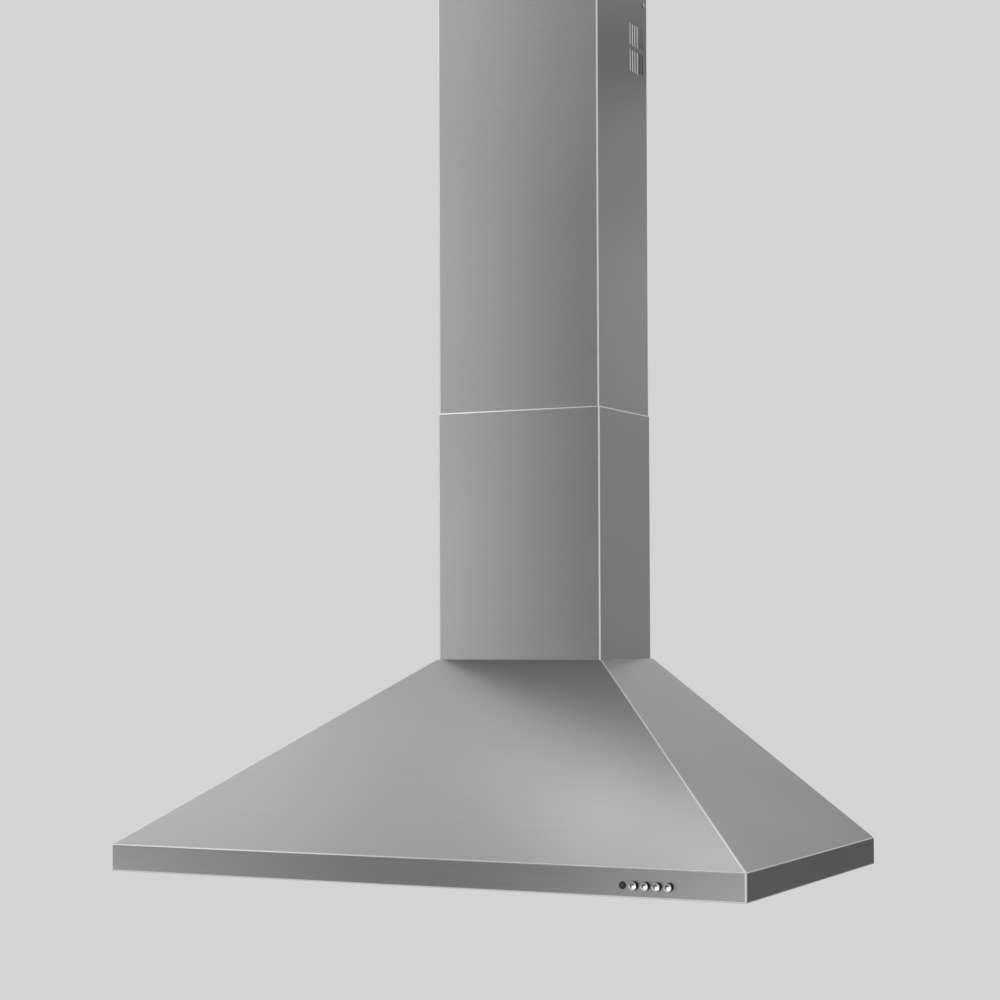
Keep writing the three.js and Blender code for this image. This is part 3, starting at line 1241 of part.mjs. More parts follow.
// Wires from the switches, laid on the underside panel beside the filters, to the electrics box.
function makeLoom(parent) {
  const lie = FLOOR_Z + LOOM_RADIUS + SEAT;
  const side = (OPENING_HALF + HALF - INSET - SHEET) / 2;
  const startY = (BOX_Y[0] + BOX_Y[1]) / 2;
  const endX = ELEC_END + SEAT;
  const [, endY] = ELEC_MIDDLE;
  const endZ = ELEC_Z + ELEC_HEIGHT / 2;
  const route = [
    [BOX_X[1] + SEAT, startY, lie],
    [side, startY, lie],
    [side, endY, lie],
    [endX + LOOM_LEAD, endY, endZ],
    [endX, endY, endZ],
  ];
  const section = new THREE.Shape(
    circle(0, 0, LOOM_RADIUS, LOOM_SIDES).map(([u, v]) => new THREE.Vector2(u, v)));
  const geometry = new THREE.ExtrudeGeometry(section, {
    steps: LOOM_STEPS,
    extrudePath: bentPath(route),
    bevelEnabled: false,
  });
  piece(parent, 'wiring_loom', solidOf(geometry), darkPlastic);
}

// ---------------------------------------------------------------- the hood

const hood = new THREE.Group();
const assembly = group(hood, 0, 0, -HANG_HEIGHT);
makeCanopy(assembly);
makeBackPanel(assembly);
makeUndersidePanel(assembly);
makeMountingPlate(assembly);
makeLowerChimney(assembly);
makeUpperChimney(assembly);
makeCeilingBracket(assembly);
makeTopScrews(assembly);
makeScroll(assembly);
makeWheel(assembly);
makeMotor(assembly);
makeCollar(assembly);
makeFlaps(assembly);
makeFilters(assembly);
makeLamps(assembly);
makeSwitchBox(assembly);
makeControls(assembly);
makeElectricsBox(assembly);
makeGrommet(assembly);
makeLoom(assembly);

export default hood;
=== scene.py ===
import math

import bmesh
import bpy
from mathutils import Matrix, Vector


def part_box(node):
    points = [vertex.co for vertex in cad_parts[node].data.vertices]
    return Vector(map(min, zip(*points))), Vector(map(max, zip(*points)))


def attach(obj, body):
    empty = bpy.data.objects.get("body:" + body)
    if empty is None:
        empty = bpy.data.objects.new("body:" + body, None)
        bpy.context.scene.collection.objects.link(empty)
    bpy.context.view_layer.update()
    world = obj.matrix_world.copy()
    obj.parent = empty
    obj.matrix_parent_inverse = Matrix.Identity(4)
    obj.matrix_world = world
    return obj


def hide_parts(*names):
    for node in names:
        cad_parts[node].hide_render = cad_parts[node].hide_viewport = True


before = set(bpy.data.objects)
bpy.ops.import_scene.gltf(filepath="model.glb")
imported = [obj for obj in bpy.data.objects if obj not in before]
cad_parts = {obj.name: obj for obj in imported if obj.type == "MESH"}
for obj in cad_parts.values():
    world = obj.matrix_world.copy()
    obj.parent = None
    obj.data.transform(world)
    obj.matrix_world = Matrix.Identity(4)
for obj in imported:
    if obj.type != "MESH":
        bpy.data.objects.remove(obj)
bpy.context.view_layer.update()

# ---------------- camera
# The photograph looks up a little at the hood from its right, from about three metres, with
# a long lens. The picture's centre lies above the lens axis, as with a shifted view camera.

MM = 0.001
PICTURE = 1000  # pixels, both ways
FOCAL_PIXELS = 2290.2
AXIS_BELOW_CENTRE = 100  # pixels from the picture's centre down to the lens axis
CAMERA_YAW = math.radians(26.274)
CAMERA_PITCH = math.radians(0.739)
CAMERA_ROLL = math.radians(-0.228)
CAMERA_PLACE = Vector((1375.8, -3021.0, 321.0)) * MM  # from the underside of the band
SENSOR = 36

band_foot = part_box("canopy_shell")[0].z

forward = Vector((-math.sin(CAMERA_YAW) * math.cos(CAMERA_PITCH),
                  math.cos(CAMERA_YAW) * math.cos(CAMERA_PITCH), math.sin(CAMERA_PITCH)))
level = Vector((math.cos(CAMERA_YAW), math.sin(CAMERA_YAW), 0))
upright = level.cross(forward)
right = math.cos(CAMERA_ROLL) * level + math.sin(CAMERA_ROLL) * upright
up = math.cos(CAMERA_ROLL) * upright - math.sin(CAMERA_ROLL) * level

camera_data = bpy.data.cameras.new("camera")
camera_data.sensor_width = SENSOR
camera_data.lens = FOCAL_PIXELS * SENSOR / PICTURE
camera_data.shift_y = AXIS_BELOW_CENTRE / PICTURE
camera_data.clip_start = 0.05
camera_data.clip_end = 60
camera = bpy.data.objects.new("camera", camera_data)
turn = Matrix((right, up, -forward)).transposed()
camera.matrix_world = Matrix.Translation(CAMERA_PLACE + Vector((0, 0, band_foot))) @ turn.to_4x4()
bpy.context.scene.collection.objects.link(camera)
bpy.context.scene.camera = camera

# ---------------- studio
# A pale floor far below the hanging hood, a pale backdrop that only the camera, reflections
# and glass see, eight soft lamps, and two grey felt screens that the steel mirrors.

FLOOR_BELOW = 4  # metres, so that the hood can be looked at from below
FLOOR_SIZE = 24
FLOOR_COLOUR = "#f0f0f0"
BACKDROP_COLOUR = "#d4d4d4"
FLAG_COLOUR = "#8a8a8a"
ROOM_STRENGTH = 0.75


def linear(colour):
    """An sRGB hex colour as linear RGBA."""
    parts = [int(colour[i:i + 2], 16) / 255 for i in (1, 3, 5)]
    return tuple(c / 12.92 if c <= 0.04045 else ((c + 0.055) / 1.055) ** 2.4 for c in parts) + (1,)


def add_node(tree, kind, links=None, **settings):
    """Adds a node with its settings; `links` gives its inputs a value or another node's output."""
    node = tree.nodes.new(kind)
    for key, value in settings.items():
        setattr(node, key, value)
    for key, value in (links or {}).items():
        if isinstance(value, bpy.types.NodeSocket):
            tree.links.new(value, node.inputs[key])
        else:
            node.inputs[key].default_value = value
    return node


def new_material(name, **values):
    """A material with a Principled shader whose sockets hold `values`."""
    material = bpy.data.materials.new(name)
    material.use_nodes = True
    shader = material.node_tree.nodes["Principled BSDF"]
    for socket, value in values.items():
        shader.inputs[socket.replace("_", " ")].default_value = value
    return material, material.node_tree, shader


def plain(name, colour, roughness, **values):
    """A material of one colour and one gloss."""
    return new_material(name, Base_Color=linear(colour), Roughness=roughness, **values)[0]


bpy.context.scene.view_settings.view_transform = "Standard"

floor_mesh = bpy.data.meshes.new("floor")
reach = FLOOR_SIZE / 2
floor_corners = [(-reach, -reach, 0), (reach, -reach, 0), (reach, reach, 0), (-reach, reach, 0)]
floor_mesh.from_pydata(floor_corners, [], [(0, 1, 2, 3)])
floor = bpy.data.objects.new("floor", floor_mesh)
floor.location.z = band_foot - FLOOR_BELOW
bpy.context.scene.collection.objects.link(floor)
floor_mesh.materials.append(plain("matt_floor_paint", FLOOR_COLOUR, 0.9))

world = bpy.data.worlds.new("studio")
bpy.context.scene.world = world
world.use_nodes = True
sky = world.node_tree
sky.nodes.clear()
rays = add_node(sky, "ShaderNodeLightPath")
seen = rays.outputs["Is Camera Ray"]
for kind in ("Is Glossy Ray", "Is Transmission Ray"):
    either = add_node(sky, "ShaderNodeMath", {0: seen, 1: rays.outputs[kind]}, operation="MAXIMUM")
    seen = either.outputs[0]
room = add_node(sky, "ShaderNodeBackground", {"Color": linear("#ffffff"), "Strength": ROOM_STRENGTH})
backdrop = add_node(sky, "ShaderNodeBackground", {"Color": linear(BACKDROP_COLOUR), "Strength": 1.0})
mixed = add_node(sky, "ShaderNodeMixShader", {0: seen, 1: room.outputs[0], 2: backdrop.outputs[0]})
add_node(sky, "ShaderNodeOutputWorld", {"Surface": mixed.outputs[0]})


def softbox(name, place, aim, size, power, spread=180):
    """A rectangular lamp at `place`, turned towards `aim`, in metres, watts and degrees."""
    lamp = bpy.data.lights.new(name, "AREA")
    lamp.shape = "RECTANGLE"
    lamp.size, lamp.size_y = size
    lamp.energy = power
    lamp.spread = math.radians(spread)
    made = bpy.data.objects.new(name, lamp)
    made.location = place
    made.rotation_euler = (Vector(aim) - Vector(place)).to_track_quat("-Z", "Y").to_euler()
    made.visible_camera = False
    bpy.context.scene.collection.objects.link(made)


def flag(name, low, high):
    """A grey felt screen across y, out of the camera's sight, that only polished faces mirror."""
    (x0, y, z0), (x1, _, z1) = low, high
    mesh = bpy.data.meshes.new(name)
    mesh.from_pydata([(x0, y, z0), (x1, y, z0), (x1, y, z1), (x0, y, z1)], [], [(0, 1, 2, 3)])
    mesh.materials.append(grey_felt)
    screen = bpy.data.objects.new(name, mesh)
    screen.visible_camera = screen.visible_diffuse = screen.visible_shadow = False
    bpy.context.scene.collection.objects.link(screen)


grey_felt = plain("grey_felt_screen", FLAG_COLOUR, 1.0)
flag("screen_right", (0.6, 2.4, -1.6), (3.4, 2.4, 1.8))
flag("screen_near", (-5.0, -5.2, -1.6), (-0.4, -5.2, 2.4))
softbox("softbox_left", (-0.64, -0.98, 0.8), (-0.1, -0.2, 0.75), size=(0.36, 1.6), power=0.75, spread=80)
softbox("softbox_right", (2.6, -1.6, 0.8), (0.2, -0.2, 0.1), size=(1.0, 2.0), power=4)
softbox("softbox_rear", (0.85, 1.5, 0.7), (0.12, -0.1, 0.6), size=(0.4, 1.3), power=1.4)
softbox("softbox_rear_top", (0.25, 1.5, 0.85), (0.35, -0.25, 0.1), size=(0.8, 0.4), power=0.5)
softbox("softbox_top_left", (-1.9, 0.1, 1.9), (-0.4, -0.4, 0), size=(1.0, 1.0), power=5.2)
softbox("softbox_top_right", (-0.35, 0.05, 2.1), (0.4, -0.4, 0), size=(0.8, 0.8), power=5.0)
softbox("softbox_low_left", (-1.5, -1.8, -0.4), (-0.45, -0.5, 0), size=(0.7, 0.5), power=1.7)
softbox("softbox_low_right", (0.12, -1.9, -0.4), (0.42, -0.5, 0), size=(0.7, 0.5), power=2.0)

# ---------------- brushed stainless steel
# The hood's casings are AISI 304 sheet with a long-grain brushed finish. The grain lies level
# on every face, so highlights spread upright; along each fold a lighter grey is a painted highlight.

STEEL_COLOUR = "#919191"
STEEL_GRAIN = 1.1 * MM  # real scratches are 0.1 mm apart, too fine to show
STEEL_GRAIN_LENGTH = 110 * MM
STEEL_CLOUD = 260 * MM
# painted highlight: the lighter grey drawn along folds and sheet edges
FOLD_HIGHLIGHT_COLOUR = "#dedede"


def brushed_steel(name, colour, roughness, spread, grain_depth, lying=False):
    """Sheet brushed along the horizontal, upright or lying; its roughness varies by `spread`."""
    material, tree, shader = new_material(name, Metallic=1.0, Anisotropic=0.55)
    surface = add_node(tree, "ShaderNodeNewGeometry")
    place = surface.outputs["Position"]
    along, across = 1 / STEEL_GRAIN_LENGTH, 1 / STEEL_GRAIN
    stretch = (along, across if lying else along, across)
    stretched = add_node(tree, "ShaderNodeVectorMath", {0: place, 1: stretch},
                         operation="MULTIPLY").outputs[0]
    grain = add_node(tree, "ShaderNodeTexNoise", {"Vector": stretched, "Scale": 1.0, "Detail": 3.0,
                                                  "Roughness": 0.7}).outputs["Fac"]
    cloud = add_node(tree, "ShaderNodeTexNoise", {"Vector": place, "Scale": 1 / STEEL_CLOUD,
                                                  "Detail": 1.0}).outputs["Fac"]
    shade = add_node(tree, "ShaderNodeMapRange", {"Value": grain, "From Min": 0.25, "From Max": 0.75,
                                                  "To Min": 0.95, "To Max": 1.05}).outputs[0]
    tint = add_node(tree, "ShaderNodeVectorMath", {0: linear(colour)[:3], "Scale": shade},
                    operation="SCALE").outputs[0]
    tree.links.new(tint, shader.inputs["Base Color"])
    blur = add_node(tree, "ShaderNodeMath", {0: grain, 1: cloud}, operation="ADD").outputs[0]
    rough = add_node(tree, "ShaderNodeMapRange", {"Value": blur, "From Min": 0.6, "From Max": 1.4,
                                                  "To Min": roughness - spread,
                                                  "To Max": roughness + spread}).outputs[0]
    tree.links.new(rough, shader.inputs["Roughness"])
    bump = add_node(tree, "ShaderNodeBump", {"Height": grain, "Strength": 0.25, "Distance": grain_depth})
    tree.links.new(bump.outputs[0], shader.inputs["Normal"])
    over_grain = (0, 1, 0.01) if lying else (0.01, 0, 1)
    level_grain = add_node(tree, "ShaderNodeVectorMath", {0: over_grain, 1: surface.outputs["Normal"]},
                           operation="CROSS_PRODUCT")
    tree.links.new(level_grain.outputs[0], shader.inputs["Tangent"])
    return material


brushed_304 = brushed_steel("brushed_304_stainless", STEEL_COLOUR, roughness=0.33, spread=0.04,
                            grain_depth=0.02 * MM)
brushed_panel = brushed_steel("brushed_304_stainless_panel", STEEL_COLOUR, roughness=0.33, spread=0.04,
                              grain_depth=0.02 * MM, lying=True)
# The fold material: the brushed sheet with a painted highlight in its lighter grey, and a little
# smoother.
fold_painted_highlight = brushed_steel("stainless_fold_painted_highlight", FOLD_HIGHLIGHT_COLOUR, roughness=0.3, spread=0.02,
                            grain_depth=0.005 * MM)

# ---------------- canopy
# One folded sheet of 0.8 mm stainless steel: a low upright band with a lip turned in under
# it, and the hipped slope, welded and ground along its ridges, with a flange at its top.

SHEET = 0.8
FOLD_RADIUS = 2.0
FOLD_STEPS = 6
CLEAR = 0.3  # between two pieces that touch
BAND_HEIGHT = 36
SLOPE_HEIGHT = 243
LIP_WIDTH = 14
LIP_RISE = 5.5
TOP_FLANGE_SIDE = 28
TOP_FLANGE_FRONT = 15
CHIMNEY_LEDGE = 3
INSIDE_ARC = 100  # numbers the folds of a sheet's inside apart from its outside
PAST = 2  # how far a cutter reaches past what it cuts

canopy_low, canopy_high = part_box("canopy_shell")
lower_low, lower_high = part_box("lower_chimney")
HALF_WIDTH = canopy_high.x / MM
DEPTH = -canopy_low.y / MM
FOOT = canopy_low.z / MM  # heights below count from the underside of the band
TOP_HALF = lower_high.x / MM + CHIMNEY_LEDGE
TOP_DEPTH = -lower_low.y / MM + CHIMNEY_LEDGE
SLOPE_TOP = BAND_HEIGHT + SLOPE_HEIGHT


def rounded(corners):
    """Corners (u, v, radius) with each radius drawn as an arc, as (u, v, number of its arc)."""
    points = []
    for i, (u, v, radius) in enumerate(corners):
        here = Vector((u, v))
        if radius == 0:
            points.append((u, v, 0))
            continue
        back = (Vector(corners[i - 1][:2]) - here).normalized()
        on = (Vector(corners[(i + 1) % len(corners)][:2]) - here).normalized()
        half = math.acos(max(-1, min(1, back.dot(on)))) / 2
        centre = here + (back + on).normalized() * radius / math.sin(half)
        start = here + back * radius / math.tan(half) - centre
        way = -1 if back.x * on.y - back.y * on.x > 0 else 1
        for k in range(FOLD_STEPS + 1):
            angle = way * (math.pi - 2 * half) * k / FOLD_STEPS
            spun = Matrix.Rotation(angle, 2) @ start
            points.append((centre.x + spun.x, centre.y + spun.y, i + 1))
    return points


def mesh_object(name, vertices, faces, materials, slots=None, smooth=True):
    """A mesh from points in mm, heights from the band's underside, with a material per face."""
    mesh = bpy.data.meshes.new(name)
    mesh.from_pydata([Vector((x, y, z + FOOT)) * MM for x, y, z in vertices], [], faces)
    for material in materials:
        mesh.materials.append(material)
    if slots:
        mesh.polygons.foreach_set("material_index", slots)
    mesh.polygons.foreach_set("use_smooth", [smooth] * len(faces))
    mesh.validate()
    made = bpy.data.objects.new(name, mesh)
    bpy.context.scene.collection.objects.link(made)
    return made


def outward(piece):
    """Turns every face of a closed mesh outwards."""
    bm = bmesh.new()
    bm.from_mesh(piece.data)
    bmesh.ops.recalc_face_normals(bm, faces=bm.faces)
    bm.to_mesh(piece.data)
    bm.free()


def even_shading(piece, sharp=40):
    """Flat faces stay flat and folds turn smoothly."""
    piece.data.set_sharp_from_angle(angle=math.radians(sharp))
    weighted = piece.modifiers.new("flat faces", "WEIGHTED_NORMAL")
    weighted.mode = "FACE_AREA"
    weighted.keep_sharp = True


def pierced(piece, *cutters):
    """Cuts holes of the cutters' shapes through the piece, and removes the cutters."""
    for cutter in cutters:
        hole = piece.modifiers.new("hole", "BOOLEAN")
        hole.operation = "DIFFERENCE"
        hole.solver = "EXACT"
        hole.object = cutter
    shaped = piece.evaluated_get(bpy.context.evaluated_depsgraph_get())
    mesh = bpy.data.meshes.new_from_object(shaped)
    piece.modifiers.clear()
    piece.data = mesh
    for cutter in cutters:
        bpy.data.objects.remove(cutter)


def canopy_section(run, flange):
    """The sheet's section as (inset, height, arc), outside first, then inside."""
    slope = math.hypot(run, SLOPE_HEIGHT)
    band_inside = BAND_HEIGHT + SHEET * (SLOPE_HEIGHT - slope) / run
    top_inside = run + SHEET * (slope - run) / SLOPE_HEIGHT
    inner = FOLD_RADIUS - SHEET
    outside = rounded([
        (LIP_WIDTH, LIP_RISE, 0),
        (LIP_WIDTH, 0, FOLD_RADIUS),
        (0, 0, FOLD_RADIUS),
        (0, BAND_HEIGHT, FOLD_RADIUS),
        (run, SLOPE_TOP, FOLD_RADIUS),
        (run + flange, SLOPE_TOP, 0),
    ])
    inside = rounded([
        (LIP_WIDTH - SHEET, LIP_RISE, 0),
        (LIP_WIDTH - SHEET, SHEET, inner),
        (SHEET, SHEET, inner),
        (SHEET, band_inside, inner),
        (top_inside, SLOPE_TOP - SHEET, inner),
        (run + flange, SLOPE_TOP - SHEET, 0),
    ])
    return outside, inside


def skin(rings, closed=False):
    """Points and faces over a row of rings, with an end face on both ends unless it is closed."""
    count, rows = len(rings[0]), len(rings)
    faces = []
    for row in range(rows if closed else rows - 1):
        here, there = row * count, (row + 1) % rows * count
        for i in range(count):
            j = (i + 1) % count
            faces.append((here + i, here + j, there + j, there + i))
    if not closed:
        faces += [tuple(range(count)), tuple(range((rows - 1) * count, rows * count))]
    return [point for ring in rings for point in ring], faces


def swept_rings(name, rings, arcs, highlight_rings):
    """A sheet's section along its rings; folds, corners and ends get the painted highlight."""
    slots = []
    for row in range(len(rings) - 1):
        for i, fold in enumerate(arcs):
            in_fold = fold and fold == arcs[(i + 1) % len(arcs)]
            slots.append(1 if in_fold or row in highlight_rings else 0)
    piece = mesh_object(name, *skin(rings), [brushed_304, fold_painted_highlight], slots + [1, 1])
    outward(piece)
    return piece


def canopy_rings():
    """The section at each turn of the way round, from the right rear to the left rear."""
    sides = canopy_section(HALF_WIDTH - TOP_HALF, TOP_FLANGE_SIDE)
    fronts = canopy_section(DEPTH - TOP_DEPTH, TOP_FLANGE_FRONT)
    side = sides[0] + sides[1][::-1]
    front = fronts[0] + fronts[1][::-1]
    outer = len(sides[0])
    radii = [FOLD_RADIUS if i < outer else FOLD_RADIUS - SHEET for i in range(len(side))]
    arcs = [s[2] + (INSIDE_ARC if i >= outer and s[2] else 0) for i, s in enumerate(side)]
    right_rings = [[(HALF_WIDTH - s[0], 0, s[1]) for s in side]]
    for k in range(FOLD_STEPS + 1):
        angle = math.pi / 2 * k / FOLD_STEPS
        ring = []
        for s, f, radius in zip(side, front, radii):
            x = HALF_WIDTH - s[0] - radius * (1 - math.cos(angle))
            y = DEPTH - f[0] - radius * (1 - math.sin(angle))
            ring.append((x, -y, s[1]))
        right_rings.append(ring)
    left_rings = [[(-x, y, z) for x, y, z in ring] for ring in reversed(right_rings)]
    # the rings round the rounded corners get the painted highlight too
    corners = set(range(1, FOLD_STEPS + 1)) | set(range(FOLD_STEPS + 2, 2 * FOLD_STEPS + 2))
    return right_rings + left_rings, arcs, corners


def placed(axis, along, u, v):
    """A point at `along` on an axis and at (u, v) across it."""
    return {"x": (along, u, v), "y": (u, along, v), "z": (u, v, along)}[axis]


def arc(centre, radius, start, end, steps):
    """Points round a centre, from one angle to another in degrees."""
    points = []
    for k in range(steps + 1):
        angle = math.radians(start + (end - start) * k / steps)
        points.append((centre[0] + radius * math.cos(angle), centre[1] + radius * math.sin(angle)))
    return points


def extruded(name, outline, axis, start, end, material=None):
    """A closed outline drawn across an axis, and extruded along it, in mm."""
    rings = [[placed(axis, along, u, v) for u, v in outline] for along in (start, end)]
    made = mesh_object(name, *skin(rings), [material] if material else [])
    outward(made)
    return made


def round_cutter(axis, centre, radius, start, end, sides=48):
    """A plain round cutter along an axis, its centre given across that axis, in mm."""
    return extruded("round_cutter", arc(centre, radius, 0, 360, sides)[:-1], axis, start, end)


def box_mm(node):
    """Low and high corner of a CAD node's box in mm, heights from the band's underside."""
    return [(corner.x / MM, corner.y / MM, corner.z / MM - FOOT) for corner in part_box(node)]


def centre_mm(node):
    """Middle of a CAD node's box in mm, its height from the band's underside."""
    low, high = box_mm(node)
    return [(a + b) / 2 for a, b in zip(low, high)]


BUTTON_HOLE = 5.4
PILOT_HOLE = 3.7
BUTTONS = [f"button_{i}" for i in range(1, 5)]

canopy = swept_rings("canopy", *canopy_rings())
pilot_x, _, control_z = centre_mm("pilot_lens")
holes = []
for node, radius in [("pilot_lens", PILOT_HOLE)] + [(button, BUTTON_HOLE) for button in BUTTONS]:
    centre = (centre_mm(node)[0], control_z)
    holes.append(round_cutter("y", centre, radius, -DEPTH - PAST, -DEPTH + PAST))
pierced(canopy, *holes)
even_shading(canopy)
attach(canopy, "canopy")
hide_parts("canopy_shell")

# ---------------- chimney
# Two folded covers of the same brushed sheet, open towards the wall. The lower one stands on
# the canopy; the upper one slides inside it and has vent slots beside the wall.

CHIMNEY_LIP = 12
SLOT_WIDTH = 4
SLOT_HEIGHT = 31.5
SLOT_PITCH = 8.6
SLOT_COLUMNS = 6
SLOT_ROWS = 2
SLOT_ROW_GAP = 5.5
SLOT_FROM_WALL = 18
SLOT_BELOW_TOP = 50
SLOT_END_STEPS = 8
# painted highlight along the lower cover's top edge, drawn in the fold's lighter grey
TOP_EDGE_HIGHLIGHT = 1.4  # bright strip along a sheared top edge
NOTCH = 31  # rear edges cut back at the top for the ceiling bracket
SCREW_HOLE = 2.3
SCREW_HOLE_SIDES = 24


def chimney_cover(name, node, highlighted_top):
    """A chimney's sheet between the node's own faces, with or without a painted highlight along its top
    edge.
    """
    (_, front, foot), (half, rear, top) = box_mm(node)
    lines = []
    for inset in (0, SHEET):
        side, near, far, radius = half - inset, front + inset, rear - inset, FOLD_RADIUS - inset
        lines.append(rounded([
            (CHIMNEY_LIP - half, far, 0),
            (-side, far, radius),
            (-side, near, radius),
            (side, near, radius),
            (side, far, radius),
            (half - CHIMNEY_LIP, far, 0),
        ]))
    outside, inside = lines
    section = outside + [(u, v, fold + INSIDE_ARC if fold else 0) for u, v, fold in reversed(inside)]
    heights = [foot, top - TOP_EDGE_HIGHLIGHT, top] if highlighted_top else [foot, top]
    rings = [[(u, v, z) for u, v, _ in section] for z in heights]
    return swept_rings(name, rings, [fold for _, _, fold in section], {1} if highlighted_top else set())


def block(name, low, high, material=None):
    """A plain box from its corners in mm."""
    (x0, y0, z0), (x1, y1, z1) = low, high
    return extruded(name, [(x0, y0), (x1, y0), (x1, y1), (x0, y1)], "z", z0, z1, material)


def slot_cutter(y, top, half):
    """A slot with round ends, right through both side walls."""
    radius = SLOT_WIDTH / 2
    upper_end = arc((y, top - radius), radius, 0, 180, SLOT_END_STEPS)
    lower_end = arc((y, top - SLOT_HEIGHT + radius), radius, 180, 360, SLOT_END_STEPS)
    return extruded("slot_cutter", upper_end + lower_end, "x", -half - PAST, half + PAST)


lower_cover = chimney_cover("lower_chimney_cover", "lower_chimney", True)
even_shading(lower_cover)
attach(lower_cover, "canopy")

TAB_REACH = 22
TAB_WIDTH = 20
TAB_ROWS = (-40, -140)
tab_half = lower_high.x / MM - SHEET / 2
tab_foot = lower_low.z / MM - FOOT
screw_x = centre_mm("top_screw_2")[0]
lower_pieces = [lower_cover]
for side, name in ((-1, "left"), (1, "right")):
    for y in TAB_ROWS:
        ends = sorted((side * tab_half, side * (tab_half - TAB_REACH)))
        tab = block(f"chimney_foot_{name}_{-y}", (ends[0], y - TAB_WIDTH / 2, tab_foot),
                    (ends[1], y + TAB_WIDTH / 2, tab_foot + SHEET), brushed_304)
        pierced(tab, round_cutter("z", (side * screw_x, y), SCREW_HOLE, tab_foot - PAST,
                                  tab_foot + SHEET + PAST, SCREW_HOLE_SIDES))
        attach(tab, "canopy")
        lower_pieces.append(tab)
for part in lower_pieces:
    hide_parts("lower_chimney")

upper_cover = chimney_cover("upper_chimney_cover", "upper_chimney", False)
_, (upper_half, upper_rear, upper_top) = box_mm("upper_chimney")
cutters = []
for row in range(SLOT_ROWS):
    slot_top = upper_top - SLOT_BELOW_TOP - row * (SLOT_HEIGHT + SLOT_ROW_GAP)
    for column in range(SLOT_COLUMNS):
        cutters.append(slot_cutter(-SLOT_FROM_WALL - column * SLOT_PITCH, slot_top, upper_half))
inside_half = upper_half - SHEET
cutters.append(block("notch", (-inside_half, upper_rear - FOLD_RADIUS, upper_top - NOTCH),
                     (inside_half, upper_rear + PAST, upper_top + PAST)))
_, bolt_y, bolt_z = centre_mm("bracket_screw_left")
cutters.append(round_cutter("x", (bolt_y, bolt_z), SCREW_HOLE, -upper_half - PAST, upper_half + PAST,
                            SCREW_HOLE_SIDES))
pierced(upper_cover, *cutters)
even_shading(upper_cover)
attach(upper_cover, "upper_chimney")
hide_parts("upper_chimney")

# ---------------- buttons and pilot lamp
# Four buttons stand proud of the band: black nylon barrels, each with a domed face that is
# chromed up to its rounded edge. The pilot lamp is a clear lens in a black nylon bezel, unlit.

chrome_plate = plain("polished_chrome_plate", "#e2e2e2", 0.12, Metallic=1.0)
black_nylon = plain("moulded_black_nylon", "#131314", 0.42)
# The lens's dark grey is painted shade, for the dark inside of the unlit lamp behind the clear lens.
clear_acrylic = plain("clear_acrylic_lens_painted_shade", "#4c4f4d", 0.12, Coat_Weight=0.6)
ROUND = 64  # facets round a turned piece
ON_AXIS = 0.01  # radius of a profile's end that lies on the axis


def turned(name, profile, axis, centre, material, closed=False):
    """A profile of (radius, place along the axis) in mm, turned about an axis through a centre."""
    rings = [[placed(axis, along, u, v) for u, v in arc(centre, radius, 0, 360, ROUND)[:-1]]
             for radius, along in profile]
    made = mesh_object(name, *skin(rings, closed), [material])
    outward(made)
    even_shading(made, 35)
    return made


def rounded_edge(radius, start, size, steps=5):
    """Profile of an outer edge rounded by `size`, from the face at `start` to the side."""
    return arc((radius - size, start + size), size, -90, 0, steps)


def domed(radius, start, depth, power, steps):
    """Profile of a domed face, from its middle out to `radius`, where it has sunk by `depth`."""
    shares = [k / steps for k in range(1, steps + 1)]
    return [(ON_AXIS, start)] + [(radius * share, start + depth * share ** power) for share in shares]


BUTTON_RADIUS = 5
BUTTON_BARREL = 13.5
BUTTON_DOME = 0.5
BUTTON_EDGE = 0.8
BUTTON_STEPS = 8
STEM_RADIUS = 3
for node in BUTTONS:
    (_, face, _), (_, rear, _) = box_mm(node)
    rim, shoulder = face + BUTTON_DOME, face + BUTTON_BARREL
    profile = domed(BUTTON_RADIUS - BUTTON_EDGE, face, BUTTON_DOME, 2, BUTTON_STEPS)[:-1]
    profile += rounded_edge(BUTTON_RADIUS, rim, BUTTON_EDGE)
    profile += [(BUTTON_RADIUS, shoulder), (STEM_RADIUS, shoulder), (STEM_RADIUS, rear)]
    button = turned(f"{node}_cap", profile, "y", (centre_mm(node)[0], control_z), chrome_plate)
    button.data.materials.append(black_nylon)
    for polygon in button.data.polygons:
        if polygon.center.y > (rim + BUTTON_EDGE) * MM:
            polygon.material_index = 1
    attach(button, node)
    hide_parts(node)

BEZEL_BORE = 1.9
BEZEL_BARREL = 3.4
BEZEL_RADIUS = 4.6
BEZEL_EDGE = 0.7
(_, face, _), (_, rear, _) = box_mm("pilot_bezel")
seat = -DEPTH - CLEAR
profile = [(BEZEL_BORE, face)] + rounded_edge(BEZEL_RADIUS, face, BEZEL_EDGE)
profile += [(BEZEL_RADIUS, seat), (BEZEL_BARREL, seat), (BEZEL_BARREL, rear), (BEZEL_BORE, rear)]
bezel = turned("pilot_bezel_ring", profile, "y", (pilot_x, control_z), black_nylon, closed=True)
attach(bezel, "canopy")
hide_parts("pilot_bezel")

PILOT_RADIUS = 1.6
PILOT_EDGE = 0.6
(_, face, _), (_, rear, _) = box_mm("pilot_lens")
profile = rounded_edge(PILOT_RADIUS, face, PILOT_EDGE) + [(PILOT_RADIUS, rear)]
lens = turned("pilot_lens_dome", profile, "y", (pilot_x, control_z), clear_acrylic)
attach(lens, "canopy")
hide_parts("pilot_lens")

# ---------------- underside and inner plates
# A panel of the same brushed sheet closes the canopy below, round the filters. The back panel,
# the mounting plate and the ceiling bracket are hot-dip galvanised sheet with its spangle.

SPANGLE = 9 * MM  # zinc crystals, as on a real sheet


